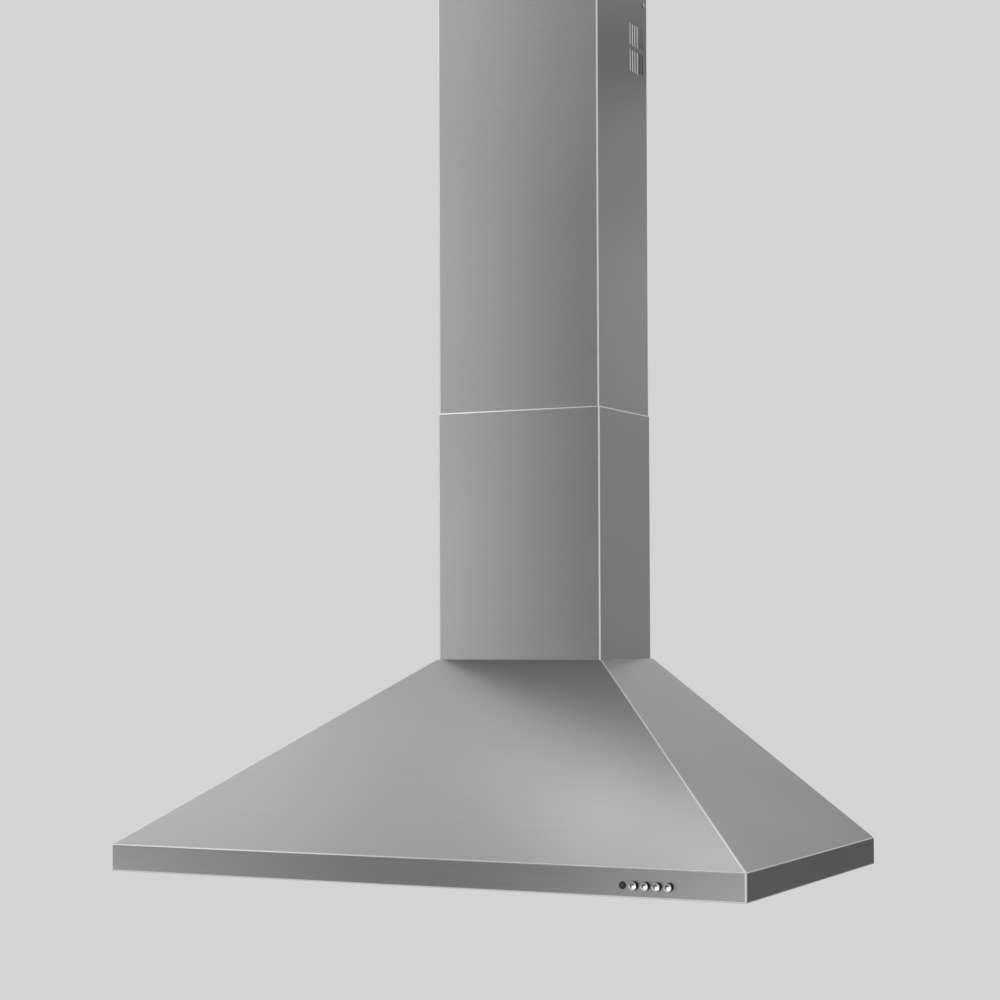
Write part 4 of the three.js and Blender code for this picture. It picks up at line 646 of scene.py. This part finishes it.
def galvanised_sheet():
    """Hot-dip galvanised steel: each zinc crystal has its own grey and its own gloss."""
    material, tree, shader = new_material("galvanised_steel_sheet", Metallic=1.0)
    place = add_node(tree, "ShaderNodeNewGeometry").outputs["Position"]
    crystals = add_node(tree, "ShaderNodeTexVoronoi", {"Vector": place, "Scale": 1 / SPANGLE})
    tone = add_node(tree, "ShaderNodeSeparateColor", {"Color": crystals.outputs["Color"]}).outputs[0]
    colour = add_node(tree, "ShaderNodeMix", {"Factor": tone, "A": linear("#8b9093"),
                                              "B": linear("#a9aeb0")}, data_type="RGBA")
    tree.links.new(colour.outputs["Result"], shader.inputs["Base Color"])
    rough = add_node(tree, "ShaderNodeMapRange", {"Value": tone, "To Min": 0.36, "To Max": 0.56})
    tree.links.new(rough.outputs[0], shader.inputs["Roughness"])
    return material


def smoothing(sharp_degrees):
    """A modifier's node group that shades shallow edges smooth and leaves sharp ones."""
    tree = bpy.data.node_groups.new("smooth shallow edges", "GeometryNodeTree")
    tree.interface.new_socket("Mesh", in_out="INPUT", socket_type="NodeSocketGeometry")
    tree.interface.new_socket("Mesh", in_out="OUTPUT", socket_type="NodeSocketGeometry")
    source = add_node(tree, "NodeGroupInput").outputs[0]
    faces = add_node(tree, "GeometryNodeSetShadeSmooth", {"Geometry": source}, domain="FACE").outputs[0]
    angle = add_node(tree, "GeometryNodeInputMeshEdgeAngle").outputs["Unsigned Angle"]
    shallow = add_node(tree, "FunctionNodeCompare", {0: angle, 1: math.radians(sharp_degrees)},
                       operation="LESS_THAN").outputs[0]
    edges = add_node(tree, "GeometryNodeSetShadeSmooth", {"Geometry": faces, "Shade Smooth": shallow},
                     domain="EDGE").outputs[0]
    add_node(tree, "NodeGroupOutput", {0: edges})
    return tree


galvanised = galvanised_sheet()
smooth_shallow = smoothing(32)


def dress(node, material, edge=0.0):
    """Gives a CAD piece its material, smooth shading and edges rounded by `edge` mm."""
    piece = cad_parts[node]
    piece.data.materials.clear()
    piece.data.materials.append(material)
    if edge:
        flat = piece.modifiers.new("one face per flat", "DECIMATE")
        flat.decimate_type = "DISSOLVE"
        flat.angle_limit = math.radians(0.5)
    piece.modifiers.new("smooth", "NODES").node_group = smooth_shallow
    if edge:
        bevel = piece.modifiers.new("edges", "BEVEL")
        bevel.width = edge * MM
        bevel.segments = 2
        bevel.angle_limit = math.radians(40)
        bevel.harden_normals = True


dress("underside_panel", brushed_panel)
for node in ("back_panel", "mounting_plate", "ceiling_bracket"):
    dress(node, galvanised)

# ---------------- lamps
# Two round LED lamps sit in the panel's front strip: a brushed trim ring, an opal lens and a
# finned die-cast body behind it.

opal_polycarbonate = plain("opal_polycarbonate", "#eceeea", 0.3, Subsurface_Weight=0.3,
                           Emission_Color=linear("#fff4e2"), Emission_Strength=0.15)
cast_aluminium, cast_tree, cast_shader = new_material("die_cast_aluminium", Base_Color=linear("#b4b7b8"),
                                                      Metallic=1.0, Roughness=0.48)


def uneven_skin(tree, shader, size, strength, depth):
    """Gives a material shallow bumps of about `size`, as a casting or a thin sleeve has."""
    place = add_node(tree, "ShaderNodeNewGeometry").outputs["Position"]
    bumps = add_node(tree, "ShaderNodeTexNoise", {"Vector": place, "Scale": 1 / size})
    relief = add_node(tree, "ShaderNodeBump", {"Height": bumps.outputs["Fac"], "Strength": strength,
                                               "Distance": depth})
    tree.links.new(relief.outputs[0], shader.inputs["Normal"])


uneven_skin(cast_tree, cast_shader, size=1.5 * MM, strength=0.3, depth=0.05 * MM)

LAMP_TRIM = 35
LAMP_WINDOW = 26
LAMP_WINDOW_EDGE = 0.3
LAMP_EDGE_STEPS = 8
LAMP_COLLAR = 29.7  # the tube that passes through the panel
LAMP_COLLAR_INNER = 28.2
LAMP_LENS_THICK = 2
LAMP_LENS_GAP = 0.4
LAMP_LENS_STEPS = 12
for side in ("left", "right"):
    x, y, _ = centre_mm(f"lamp_trim_{side}")
    (_, _, foot), (_, _, top) = box_mm(f"lamp_trim_{side}")
    seat = LIP_RISE
    profile = [(LAMP_WINDOW, seat), (LAMP_WINDOW, foot + LAMP_WINDOW_EDGE),
               (LAMP_WINDOW + LAMP_WINDOW_EDGE, foot)]
    profile += rounded_edge(LAMP_TRIM, foot, seat - foot, LAMP_EDGE_STEPS)
    profile += [(LAMP_COLLAR, seat), (LAMP_COLLAR, top)]
    profile += [(LAMP_COLLAR_INNER, top), (LAMP_COLLAR_INNER, seat)]
    trim = turned(f"lamp_trim_ring_{side}", profile, "z", (x, y), brushed_304, closed=True)
    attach(trim, "canopy")
    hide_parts(f"lamp_trim_{side}")
    (_, _, crown), (lens_edge, _, back) = box_mm(f"lamp_lens_{side}")
    rim, ledge = lens_edge - x, back - LAMP_LENS_THICK
    profile = domed(LAMP_WINDOW - LAMP_LENS_GAP, crown, ledge - crown, 3, LAMP_LENS_STEPS)
    profile += [(rim, ledge), (rim, back), (ON_AXIS, back)]
    dome = turned(f"lamp_lens_dome_{side}", profile, "z", (x, y), opal_polycarbonate)
    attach(dome, "canopy")
    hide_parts(f"lamp_lens_{side}")
    dress(f"lamp_body_{side}", cast_aluminium, 0.4)

# ---------------- grease filters
# Three lift-out filters, each a folded aluminium channel round two layers of expanded
# aluminium mesh, with a spring latch at its front edge. The mesh is drawn at twice its size.

ROLL_LENGTH = 25 * MM  # faint lines that the rolls leave, drawn coarser than real ones
ROLL_LINES = 0.9 / MM

mill_aluminium, mill_tree, mill_shader = new_material("mill_finish_aluminium", Metallic=1.0,
                                                      Roughness=0.38, Base_Color=linear("#bfc2c3"))
place = add_node(mill_tree, "ShaderNodeNewGeometry").outputs["Position"]
streaks = add_node(mill_tree, "ShaderNodeVectorMath",
                   {0: place, 1: (1 / ROLL_LENGTH, ROLL_LINES, ROLL_LINES)}, operation="MULTIPLY")
rolling = add_node(mill_tree, "ShaderNodeTexNoise", {"Vector": streaks.outputs[0], "Scale": 1.0,
                                                     "Detail": 2.0})
gloss = add_node(mill_tree, "ShaderNodeMapRange", {"Value": rolling.outputs["Fac"], "To Min": 0.28,
                                                   "To Max": 0.5})
mill_tree.links.new(gloss.outputs[0], mill_shader.inputs["Roughness"])
grey_nylon = plain("moulded_grey_nylon", "#6d7073", 0.48)

DIAMOND_LENGTH = 20  # a real filter has 10 by 5 mm diamonds
DIAMOND_WIDTH = 10
STRAND_WIDTH = 1.6
STRAND_THICK = 0.9
STRAND_LEAN = 0.35
MESH_MARGIN = 2  # from the edge of the solid mesh
MESH_INSET = 1  # from its lower and upper face
LATCH_HALF = 31
LATCH_DEEP = 30.5


def strand(vertices, faces, start, end, z, lean):
    """One strand of the mesh from knot to knot, leaning as the slit metal does."""
    run = Vector((end[0] - start[0], end[1] - start[1]))
    side = Vector((-run.y, run.x)).normalized() * STRAND_WIDTH / 2
    base = len(vertices)
    for x, y in (start, end):
        for across, height in ((-1, -1), (1, -1), (1, 1), (-1, 1)):
            lift = z + height * STRAND_THICK / 2 + across * lean
            vertices.append((x + across * side.x, y + across * side.y, lift))
    for k in range(4):
        faces.append((base + k, base + (k + 1) % 4, base + 4 + (k + 1) % 4, base + 4 + k))


def expanded_mesh(name, node, z):
    """A flat sheet of diamonds inside the filter's channel, left out round the latch."""
    (x0, y0, _), (x1, y1, _) = box_mm(node)
    x0, y0, x1, y1 = x0 + MESH_MARGIN, y0 + MESH_MARGIN, x1 - MESH_MARGIN, y1 - MESH_MARGIN
    middle = (x0 + x1) / 2
    columns = round((x1 - x0) / DIAMOND_WIDTH)
    rows = round((y1 - y0) / (DIAMOND_LENGTH / 2))
    a, b = (x1 - x0) / columns, (y1 - y0) / rows
    vertices, faces = [], []
    for row in range(rows):
        for column in range(columns):
            left, front = x0 + column * a, y0 + row * b
            rising = (row + column) % 2 == 0
            start = (left, front) if rising else (left + a, front)
            end = (left + a, front + b) if rising else (left, front + b)
            by_latch = abs(left + a / 2 - middle) < LATCH_HALF + a and front < y0 + LATCH_DEEP
            if not by_latch:
                strand(vertices, faces, start, end, z, STRAND_LEAN if rising else -STRAND_LEAN)
    return mesh_object(name, vertices, faces, [mill_aluminium], smooth=False)


for side in ("left", "middle", "right"):
    (_, _, foot), (_, _, top) = box_mm(f"filter_mesh_{side}")
    for layer, z in (("lower", foot + MESH_INSET), ("upper", top - MESH_INSET)):
        sheet = expanded_mesh(f"filter_{layer}_mesh_{side}", f"filter_mesh_{side}", z)
        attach(sheet, f"filter_{side}")
        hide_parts(f"filter_mesh_{side}")
    dress(f"filter_frame_{side}", mill_aluminium, 0.5)
    dress(f"latch_housing_{side}", grey_nylon, 0.4)
    dress(f"latch_slider_{side}", grey_nylon, 0.3)

# ---------------- blower housing
# The scroll is pressed from two galvanised halves, joined by a rim round the middle. A curled
# mouth in each side lets the air into the wheel.

SCROLL_START = 99
SCROLL_GROWTH = 38
SCROLL_INSIDE = 70
SCROLL_WALL = 2
SCROLL_RIM = 8
SCROLL_TURN = math.radians(270)
SCROLL_STEPS = 60
HALF_GAP = 0.15  # from the middle to each half
RIM_LAP = 0.1  # how far the rim reaches into the wall
INLET_RADIUS = 72
INLET_SIDES = 96
MOUTH_DEPTH = 4
MOUTH_FLARE = 6
MOUTH_STEPS = 8
NECK_REAR = -15
FLANGE_HALF = 80
FLANGE_REACH = 8
_, AXLE_Y, AXLE_Z = centre_mm("impeller")
_, (_, _, SCROLL_TOP) = box_mm("scroll_half_left")
AXLE = (AXLE_Y, AXLE_Z)


def scroll_outline(offset, top):
    """The spiral and the neck above it as (y, z), moved outwards by `offset`."""
    points = [(AXLE_Y - offset, top), (AXLE_Y - offset, AXLE_Z + SCROLL_START + offset)]
    for k in range(1, SCROLL_STEPS + 1):
        angle = SCROLL_TURN * k / SCROLL_STEPS
        radius = SCROLL_START + SCROLL_GROWTH * k / SCROLL_STEPS + offset
        aside = radius * math.sin(angle)
        if aside > offset or angle > math.pi / 2:
            points.append((AXLE_Y - aside, AXLE_Z + radius * math.cos(angle)))
    points.append((AXLE_Y + SCROLL_START + SCROLL_GROWTH + offset, top))
    return points


for side, name in ((-1, "left"), (1, "right")):
    outer_face = side * (SCROLL_INSIDE + SCROLL_WALL)
    hollow = sorted((-side * PAST, side * SCROLL_INSIDE))
    shell = extruded(f"scroll_shell_{name}", scroll_outline(SCROLL_WALL, SCROLL_TOP), "x",
                     *sorted((side * HALF_GAP, outer_face)), galvanised)
    inlet = round_cutter("x", AXLE, INLET_RADIUS + SCROLL_WALL / 2,
                         *sorted((side * (SCROLL_INSIDE - PAST), outer_face + side * PAST)), INLET_SIDES)
    pierced(shell, extruded("hollow", scroll_outline(0, SCROLL_TOP + PAST), "x", *hollow), inlet)

    rim = extruded(f"scroll_rim_{name}", scroll_outline(SCROLL_WALL + SCROLL_RIM, SCROLL_TOP), "x",
                   *sorted((side * HALF_GAP, side * (HALF_GAP + SCROLL_WALL))), galvanised)
    within = scroll_outline(SCROLL_WALL - RIM_LAP, SCROLL_TOP + PAST)
    pierced(rim, extruded("hollow", within, "x", *hollow))

    ends = sorted((side * HALF_GAP, side * FLANGE_HALF))
    flange_foot = SCROLL_TOP - SCROLL_WALL
    flange = block(f"scroll_flange_{name}", (ends[0], AXLE_Y - FLANGE_REACH, flange_foot),
                   (ends[1], NECK_REAR + FLANGE_REACH, SCROLL_TOP), galvanised)
    cuts = [block("neck", (hollow[0], AXLE_Y, flange_foot - PAST),
                  (hollow[1], NECK_REAR, SCROLL_TOP + PAST))]
    for k in range(1, 5):
        x, y, _ = centre_mm(f"collar_screw_{k}")
        if x * side > 0:
            cuts.append(round_cutter("z", (x, y), SCREW_HOLE, flange_foot - PAST, SCROLL_TOP + PAST,
                                     SCREW_HOLE_SIDES))
    pierced(flange, *cuts)

    flare = (INLET_RADIUS + MOUTH_FLARE, SCROLL_INSIDE)
    curl = [(INLET_RADIUS, SCROLL_INSIDE - MOUTH_DEPTH)]
    curl += arc(flare, MOUTH_FLARE, 180, 90, MOUTH_STEPS)
    curl += arc(flare, MOUTH_FLARE - SCROLL_WALL, 90, 180, MOUTH_STEPS)
    curl += [(INLET_RADIUS + SCROLL_WALL, SCROLL_INSIDE - MOUTH_DEPTH)]
    curl = [(radius, side * along) for radius, along in curl]
    mouth = turned(f"scroll_mouth_{name}", curl, "x", AXLE, galvanised, closed=True)
    for piece in (shell, rim, flange, mouth):
        even_shading(piece, 32)
        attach(piece, "canopy")
        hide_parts(f"scroll_half_{name}")

# ---------------- wheel and motor
# A squirrel-cage wheel with forward-curved blades, riveted into two rolled rings and a pressed
# disc. The motor stands inside its right half on a three-armed bracket.

WHEEL_RADIUS = 92
WHEEL_HALF = 65
BLADES = 42  # the CAD wheel has fewer and thicker ones
BLADE_INNER = 78
BLADE_OUTER = 91.4
BLADE_HALF = 64  # half of its length
BLADE_THICK = 0.7
BLADE_SWEEP = math.radians(9)
BLADE_BULGE = 2.2
BLADE_STEPS = 6
RING_DEEP = 2.25  # half of a rolled ring's section, outwards and along
RING_WIDE = 1.5
RING_STEPS = 16

painted_black = plain("black_enamelled_motor_shell", "#1b1c1e", 0.35)
zinc_plate = plain("bright_zinc_plated_steel", "#b7babc", 0.3, Metallic=1.0)


def blade_section(angle):
    """One blade across the axle as (y, z), out along one face and back along the other."""
    section = []
    for way, steps in ((-1, range(BLADE_STEPS + 1)), (1, range(BLADE_STEPS, -1, -1))):
        for k in steps:
            share = k / BLADE_STEPS
            radius = BLADE_INNER + (BLADE_OUTER - BLADE_INNER) * share
            bulge = BLADE_BULGE * math.sin(math.pi * share) - way * BLADE_THICK / 2
            spun = angle + BLADE_SWEEP * share ** 2 - bulge / radius
            section.append((AXLE_Y + radius * math.cos(spun), AXLE_Z + radius * math.sin(spun)))
    return section


vertices, faces = [], []
for blade in range(BLADES):
    section = blade_section(2 * math.pi * blade / BLADES)
    points, sides = skin([[(x, y, z) for y, z in section] for x in (-BLADE_HALF, BLADE_HALF)])
    faces += [[len(vertices) + corner for corner in face] for face in sides]
    vertices += points
cage = mesh_object("wheel_blades", vertices, faces, [galvanised])
outward(cage)
even_shading(cage)
wheel_pieces = [cage]
for side, name in ((-1, "left"), (1, "right")):
    middle = side * (WHEEL_HALF - RING_WIDE)
    rolled = [(WHEEL_RADIUS - RING_DEEP + RING_DEEP * u, middle + RING_WIDE * v)
              for u, v in arc((0, 0), 1, 0, 360, RING_STEPS)[:-1]]
    wheel_pieces.append(turned(f"wheel_ring_{name}", rolled, "x", AXLE, galvanised, closed=True))

HUB_RADIUS = 12
HUB_BORE = 4.3
HUB_LEFT = -8
HUB_RIGHT = 14
HUB_EDGE = 0.8
HUB_FOOT = 1.2  # slope from the disc up to the hub
DISC_RADIUS = 80
DISC_HALF = 1  # half of its thickness
RIDGE_INNER = 40  # ring pressed up in the disc to stiffen it
RIDGE_OUTER = 64
RIDGE_SLOPE = 4
RIDGE_RISE = 1.2
RIDGE_LAP = 0.6  # the ring is wider on its outside
hub_left = [(HUB_BORE, HUB_LEFT), (HUB_RADIUS - HUB_EDGE, HUB_LEFT), (HUB_RADIUS, HUB_LEFT + HUB_EDGE),
            (HUB_RADIUS, -DISC_HALF - HUB_FOOT), (HUB_RADIUS + HUB_FOOT, -DISC_HALF)]
hub_right = [(HUB_RADIUS + HUB_FOOT, DISC_HALF), (HUB_RADIUS, DISC_HALF + HUB_FOOT),
             (HUB_RADIUS, HUB_RIGHT - HUB_EDGE), (HUB_RADIUS - HUB_EDGE, HUB_RIGHT),
             (HUB_BORE, HUB_RIGHT)]


def ridge(lap, face):
    """One face of the disc's pressed ring, outwards from the hub."""
    inner, outer = RIDGE_INNER - lap, RIDGE_OUTER + lap
    crest = face + RIDGE_RISE
    return [(inner, face), (inner + RIDGE_SLOPE, crest), (outer - RIDGE_SLOPE, crest), (outer, face)]


disc = hub_left + ridge(0, -DISC_HALF) + [(DISC_RADIUS, -DISC_HALF), (DISC_RADIUS, DISC_HALF)]
disc += ridge(RIDGE_LAP, DISC_HALF)[::-1] + hub_right
wheel_pieces.append(turned("wheel_disc", disc, "x", AXLE, galvanised, closed=True))
for piece in wheel_pieces:
    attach(piece, "impeller")
    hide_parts("impeller")
dress("motor_shaft", zinc_plate, 0.3)

MOTOR_RADIUS = 44
MOTOR_BORE = 4.4
MOTOR_LEFT = 18
MOTOR_RIGHT = 76
MOTOR_CORNER = 4
MOTOR_CORNER_STEPS = 6
FACE_RING = (27, 32)  # ring pressed into the left face
FACE_RING_DEPTH = 1.5
BEADS = (30, 37, 57, 64)  # places of the grooves rolled into the side
BEAD_HALF = 1.6
BEAD_DEPTH = 0.9
BEARING_RADIUS = 30
BEARING_END = 86
AIR_SLOTS = 12
AIR_SLOT_RADII = (33, 38.5)
AIR_SLOT_HALF = 1.6
AIR_SLOT_DEPTH = 5
ring_inner, ring_outer = FACE_RING
sunk = MOTOR_LEFT + FACE_RING_DEPTH
profile = [(MOTOR_BORE, MOTOR_LEFT), (ring_inner, MOTOR_LEFT), (ring_inner + 1, sunk),
           (ring_outer - 1, sunk), (ring_outer, MOTOR_LEFT)]
profile += rounded_edge(MOTOR_RADIUS, MOTOR_LEFT, MOTOR_CORNER, MOTOR_CORNER_STEPS)
for x in BEADS:
    groove = MOTOR_RADIUS - BEAD_DEPTH
    profile += [(MOTOR_RADIUS, x - BEAD_HALF), (groove, x - BEAD_HALF / 2),
                (groove, x + BEAD_HALF / 2), (MOTOR_RADIUS, x + BEAD_HALF)]
profile += arc((MOTOR_RADIUS - MOTOR_CORNER, MOTOR_RIGHT - MOTOR_CORNER), MOTOR_CORNER, 0, 90,
               MOTOR_CORNER_STEPS)
profile += [(BEARING_RADIUS, MOTOR_RIGHT), (BEARING_RADIUS, BEARING_END - 1),
            (BEARING_RADIUS - 1, BEARING_END), (MOTOR_BORE, BEARING_END)]
motor = turned("motor_shell", profile, "x", AXLE, painted_black, closed=True)
cuts = []
slot_inner, slot_outer = AIR_SLOT_RADII
for k in range(AIR_SLOTS):
    turn = Matrix.Rotation(2 * math.pi * k / AIR_SLOTS, 2)
    corners = [(slot_inner, -AIR_SLOT_HALF), (slot_outer, -AIR_SLOT_HALF),
               (slot_outer, AIR_SLOT_HALF), (slot_inner, AIR_SLOT_HALF)]
    outline = [turn @ Vector(corner) + Vector(AXLE) for corner in corners]
    cuts.append(extruded("air_slot", outline, "x", MOTOR_LEFT - PAST, MOTOR_LEFT + AIR_SLOT_DEPTH))
pierced(motor, *cuts)
even_shading(motor, 35)
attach(motor, "canopy")
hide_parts("motor_body")
dress("motor_bracket", galvanised, 0.4)

# ---------------- outlet collar and flaps
# A moulded collar takes the duct. Two half-round flaps hang in it on one pin and fall shut
# when the blower stops.

COLLAR_RADIUS = 75
COLLAR_INNER = 72.5
COLLAR_LEDGE = 67
LEDGE_HEIGHT = 12.5
COLLAR_EDGE = 0.8
COLLAR_INNER_EDGE = 0.4
GROOVE_FROM_TOP = (17, 22)  # groove for the duct's clip
GROOVE_SLOPE = 1
GROOVE_DEPTH = 0.8
PIN_BORE = 1.8
BASE_HALF = 80
BASE_CORNER = 6
BASE_THICK = 2.5
BASE_LAP = 1  # how far the base reaches into the ring
(_, _, collar_foot), (_, _, collar_top) = box_mm("outlet_collar")
NECK_Y = centre_mm("outlet_collar")[1]
PIN_Z = centre_mm("flap_pin")[2]
groove = COLLAR_RADIUS - GROOVE_DEPTH
groove_top, groove_foot = [collar_top - below for below in GROOVE_FROM_TOP]
profile = [(COLLAR_LEDGE, collar_foot), (COLLAR_RADIUS, collar_foot), (COLLAR_RADIUS, groove_foot),
           (groove, groove_foot + GROOVE_SLOPE), (groove, groove_top - GROOVE_SLOPE),
           (COLLAR_RADIUS, groove_top), (COLLAR_RADIUS, collar_top - COLLAR_EDGE),
           (COLLAR_RADIUS - COLLAR_EDGE, collar_top), (COLLAR_INNER + COLLAR_INNER_EDGE, collar_top),
           (COLLAR_INNER, collar_top - COLLAR_INNER_EDGE), (COLLAR_INNER, collar_foot + LEDGE_HEIGHT),
           (COLLAR_LEDGE, collar_foot + LEDGE_HEIGHT)]
collar = turned("outlet_collar_ring", profile, "z", (0, NECK_Y), black_nylon, closed=True)
pierced(collar, round_cutter("x", (NECK_Y, PIN_Z), PIN_BORE, -COLLAR_RADIUS - PAST, COLLAR_RADIUS + PAST,
                             SCREW_HOLE_SIDES))
even_shading(collar, 35)
corners = [(x * BASE_HALF, NECK_Y + y * BASE_HALF, BASE_CORNER)
           for x, y in ((-1, -1), (1, -1), (1, 1), (-1, 1))]
base = extruded("outlet_collar_base", [(u, v) for u, v, _ in rounded(corners)], "z", collar_foot,
                collar_foot + BASE_THICK, black_nylon)
through_base = (collar_foot - PAST, collar_foot + BASE_THICK + PAST)
holes = [round_cutter("z", (0, NECK_Y), COLLAR_RADIUS - BASE_LAP, *through_base, INLET_SIDES)]
for k in range(1, 5):
    x, y, _ = centre_mm(f"collar_screw_{k}")
    holes.append(round_cutter("z", (x, y), SCREW_HOLE, *through_base, SCREW_HOLE_SIDES))
pierced(base, *holes)
even_shading(base, 35)
for piece in (collar, base):
    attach(piece, "canopy")
    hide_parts("outlet_collar")

FLAP_RADIUS = 71.5
FLAP_ROOT = 4  # from the pin's middle to a flap's straight edge
FLAP_STEPS = 48
FLAP_HALF = 0.75  # half of its thickness
KNUCKLE = 30
KNUCKLE_GAP = 2
KNUCKLE_RADIUS = 3.2
KNUCKLE_EDGE = 0.4
WEB_FROM = 2.4
WEB_LAP = 1
for name, side, first in (("flap_front", -1, 0), ("flap_rear", 1, 1)):
    root = math.degrees(math.asin(FLAP_ROOT / FLAP_RADIUS))
    outline = [(x, NECK_Y + side * y) for x, y in arc((0, 0), FLAP_RADIUS, root, 180 - root, FLAP_STEPS)]
    blade = extruded(f"{name}_blade", outline, "z", PIN_Z - FLAP_HALF, PIN_Z + FLAP_HALF, grey_nylon)
    even_shading(blade, 35)
    flap_pieces = [blade]
    for k in (first, first + 2):
        start = (k - 2) * (KNUCKLE + KNUCKLE_GAP) + KNUCKLE_GAP / 2
        end = start + KNUCKLE
        edge = KNUCKLE_RADIUS - KNUCKLE_EDGE
        tube = [(PIN_BORE, start), (edge, start), (KNUCKLE_RADIUS, start + KNUCKLE_EDGE),
                (KNUCKLE_RADIUS, end - KNUCKLE_EDGE), (edge, end), (PIN_BORE, end)]
        flap_pieces.append(turned(f"{name}_knuckle_{k}", tube, "x", (NECK_Y, PIN_Z), grey_nylon,
                                  closed=True))
        near, far = sorted((NECK_Y + side * WEB_FROM, NECK_Y + side * (FLAP_ROOT + WEB_LAP)))
        flap_pieces.append(block(f"{name}_web_{k}", (start, near, PIN_Z - FLAP_HALF),
                                 (end, far, PIN_Z + FLAP_HALF), grey_nylon))
    for piece in flap_pieces:
        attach(piece, name)
        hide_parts(name)
dress("flap_pin", zinc_plate)

# ---------------- electrics
# Switch box, terminal box with its lid, cable gland and grommet, the motor's capacitor, and the
# wires between them in a black sleeve.

nitrile_rubber = plain("black_nitrile_rubber", "#18181a", 0.75)
white_abs = plain("white_abs_sleeve", "#d6d7d6", 0.42)
wire_sleeve, sleeve_tree, sleeve_shader = new_material("black_pvc_sleeve", Base_Color=linear("#1a1a1c"),
                                                       Roughness=0.5)
uneven_skin(sleeve_tree, sleeve_shader, size=6 * MM, strength=0.4, depth=0.3 * MM)

for node in ("switch_box", "electrics_box", "electrics_lid"):
    dress(node, black_nylon, 0.6)
dress("cable_gland", black_nylon, 0.4)
dress("cable_grommet", nitrile_rubber, 0.4)
dress("capacitor", white_abs, 0.4)
dress("wiring_loom", wire_sleeve)

# ---------------- screws
# Zinc-plated pan-head screws. The two at the top of the chimney can be seen from outside and
# have their cross recess.

HEAD_RADIUS = 3.6
HEAD_HEIGHT = 2.2
HEAD_EDGE = 0.5  # upright edge of the pan head under its round top
HEAD_STEPS = 8
SHANK_RADIUS = 2
RECESS_DEPTH = 1.2
RECESS_LONG = 2
RECESS_WIDE = 0.45
NUT_RADIUS = 3.8
NUT_THICK = 3
NUT_FROM_TIP = 1.2
for side, name in ((-1, "left"), (1, "right")):
    (x0, _, _), (x1, _, _) = box_mm(f"bracket_screw_{name}")
    tip, outer = sorted((side * x0, side * x1))
    seat = outer - HEAD_HEIGHT
    profile = [(ON_AXIS, outer)]
    profile += [(HEAD_RADIUS * u, seat + HEAD_EDGE + (HEAD_HEIGHT - HEAD_EDGE) * v)
                for u, v in arc((0, 0), 1, 90, 0, HEAD_STEPS)[1:]]
    profile += [(HEAD_RADIUS, seat), (SHANK_RADIUS, seat), (SHANK_RADIUS, tip), (ON_AXIS, tip)]
    profile = [(radius, side * along) for radius, along in profile]
    bolt = turned(f"bracket_screw_head_{name}", profile, "x", (bolt_y, bolt_z), zinc_plate)
    ends = sorted((side * (outer - RECESS_DEPTH), side * (outer + PAST)))
    for wide, high in ((RECESS_LONG, RECESS_WIDE), (RECESS_WIDE, RECESS_LONG)):
        pierced(bolt, block("recess", (ends[0], bolt_y - wide, bolt_z - high),
                            (ends[1], bolt_y + wide, bolt_z + high)))
    nut_ends = sorted((side * (tip + NUT_FROM_TIP), side * (tip + NUT_FROM_TIP + NUT_THICK)))
    hexagon = arc((bolt_y, bolt_z), NUT_RADIUS, 0, 360, 6)[:-1]
    nut = extruded(f"bracket_nut_{name}", hexagon, "x", *nut_ends, zinc_plate)
    even_shading(bolt, 35)
    even_shading(nut, 35)
    for piece in (bolt, nut):
        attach(piece, "upper_chimney")
        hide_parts(f"bracket_screw_{name}")
screws = ["scroll_screw_front", "scroll_screw_bottom"]
for k in range(1, 5):
    screws += [f"top_screw_{k}", f"collar_screw_{k}"]
for node in screws:
    dress(node, zinc_plate, 0.3)
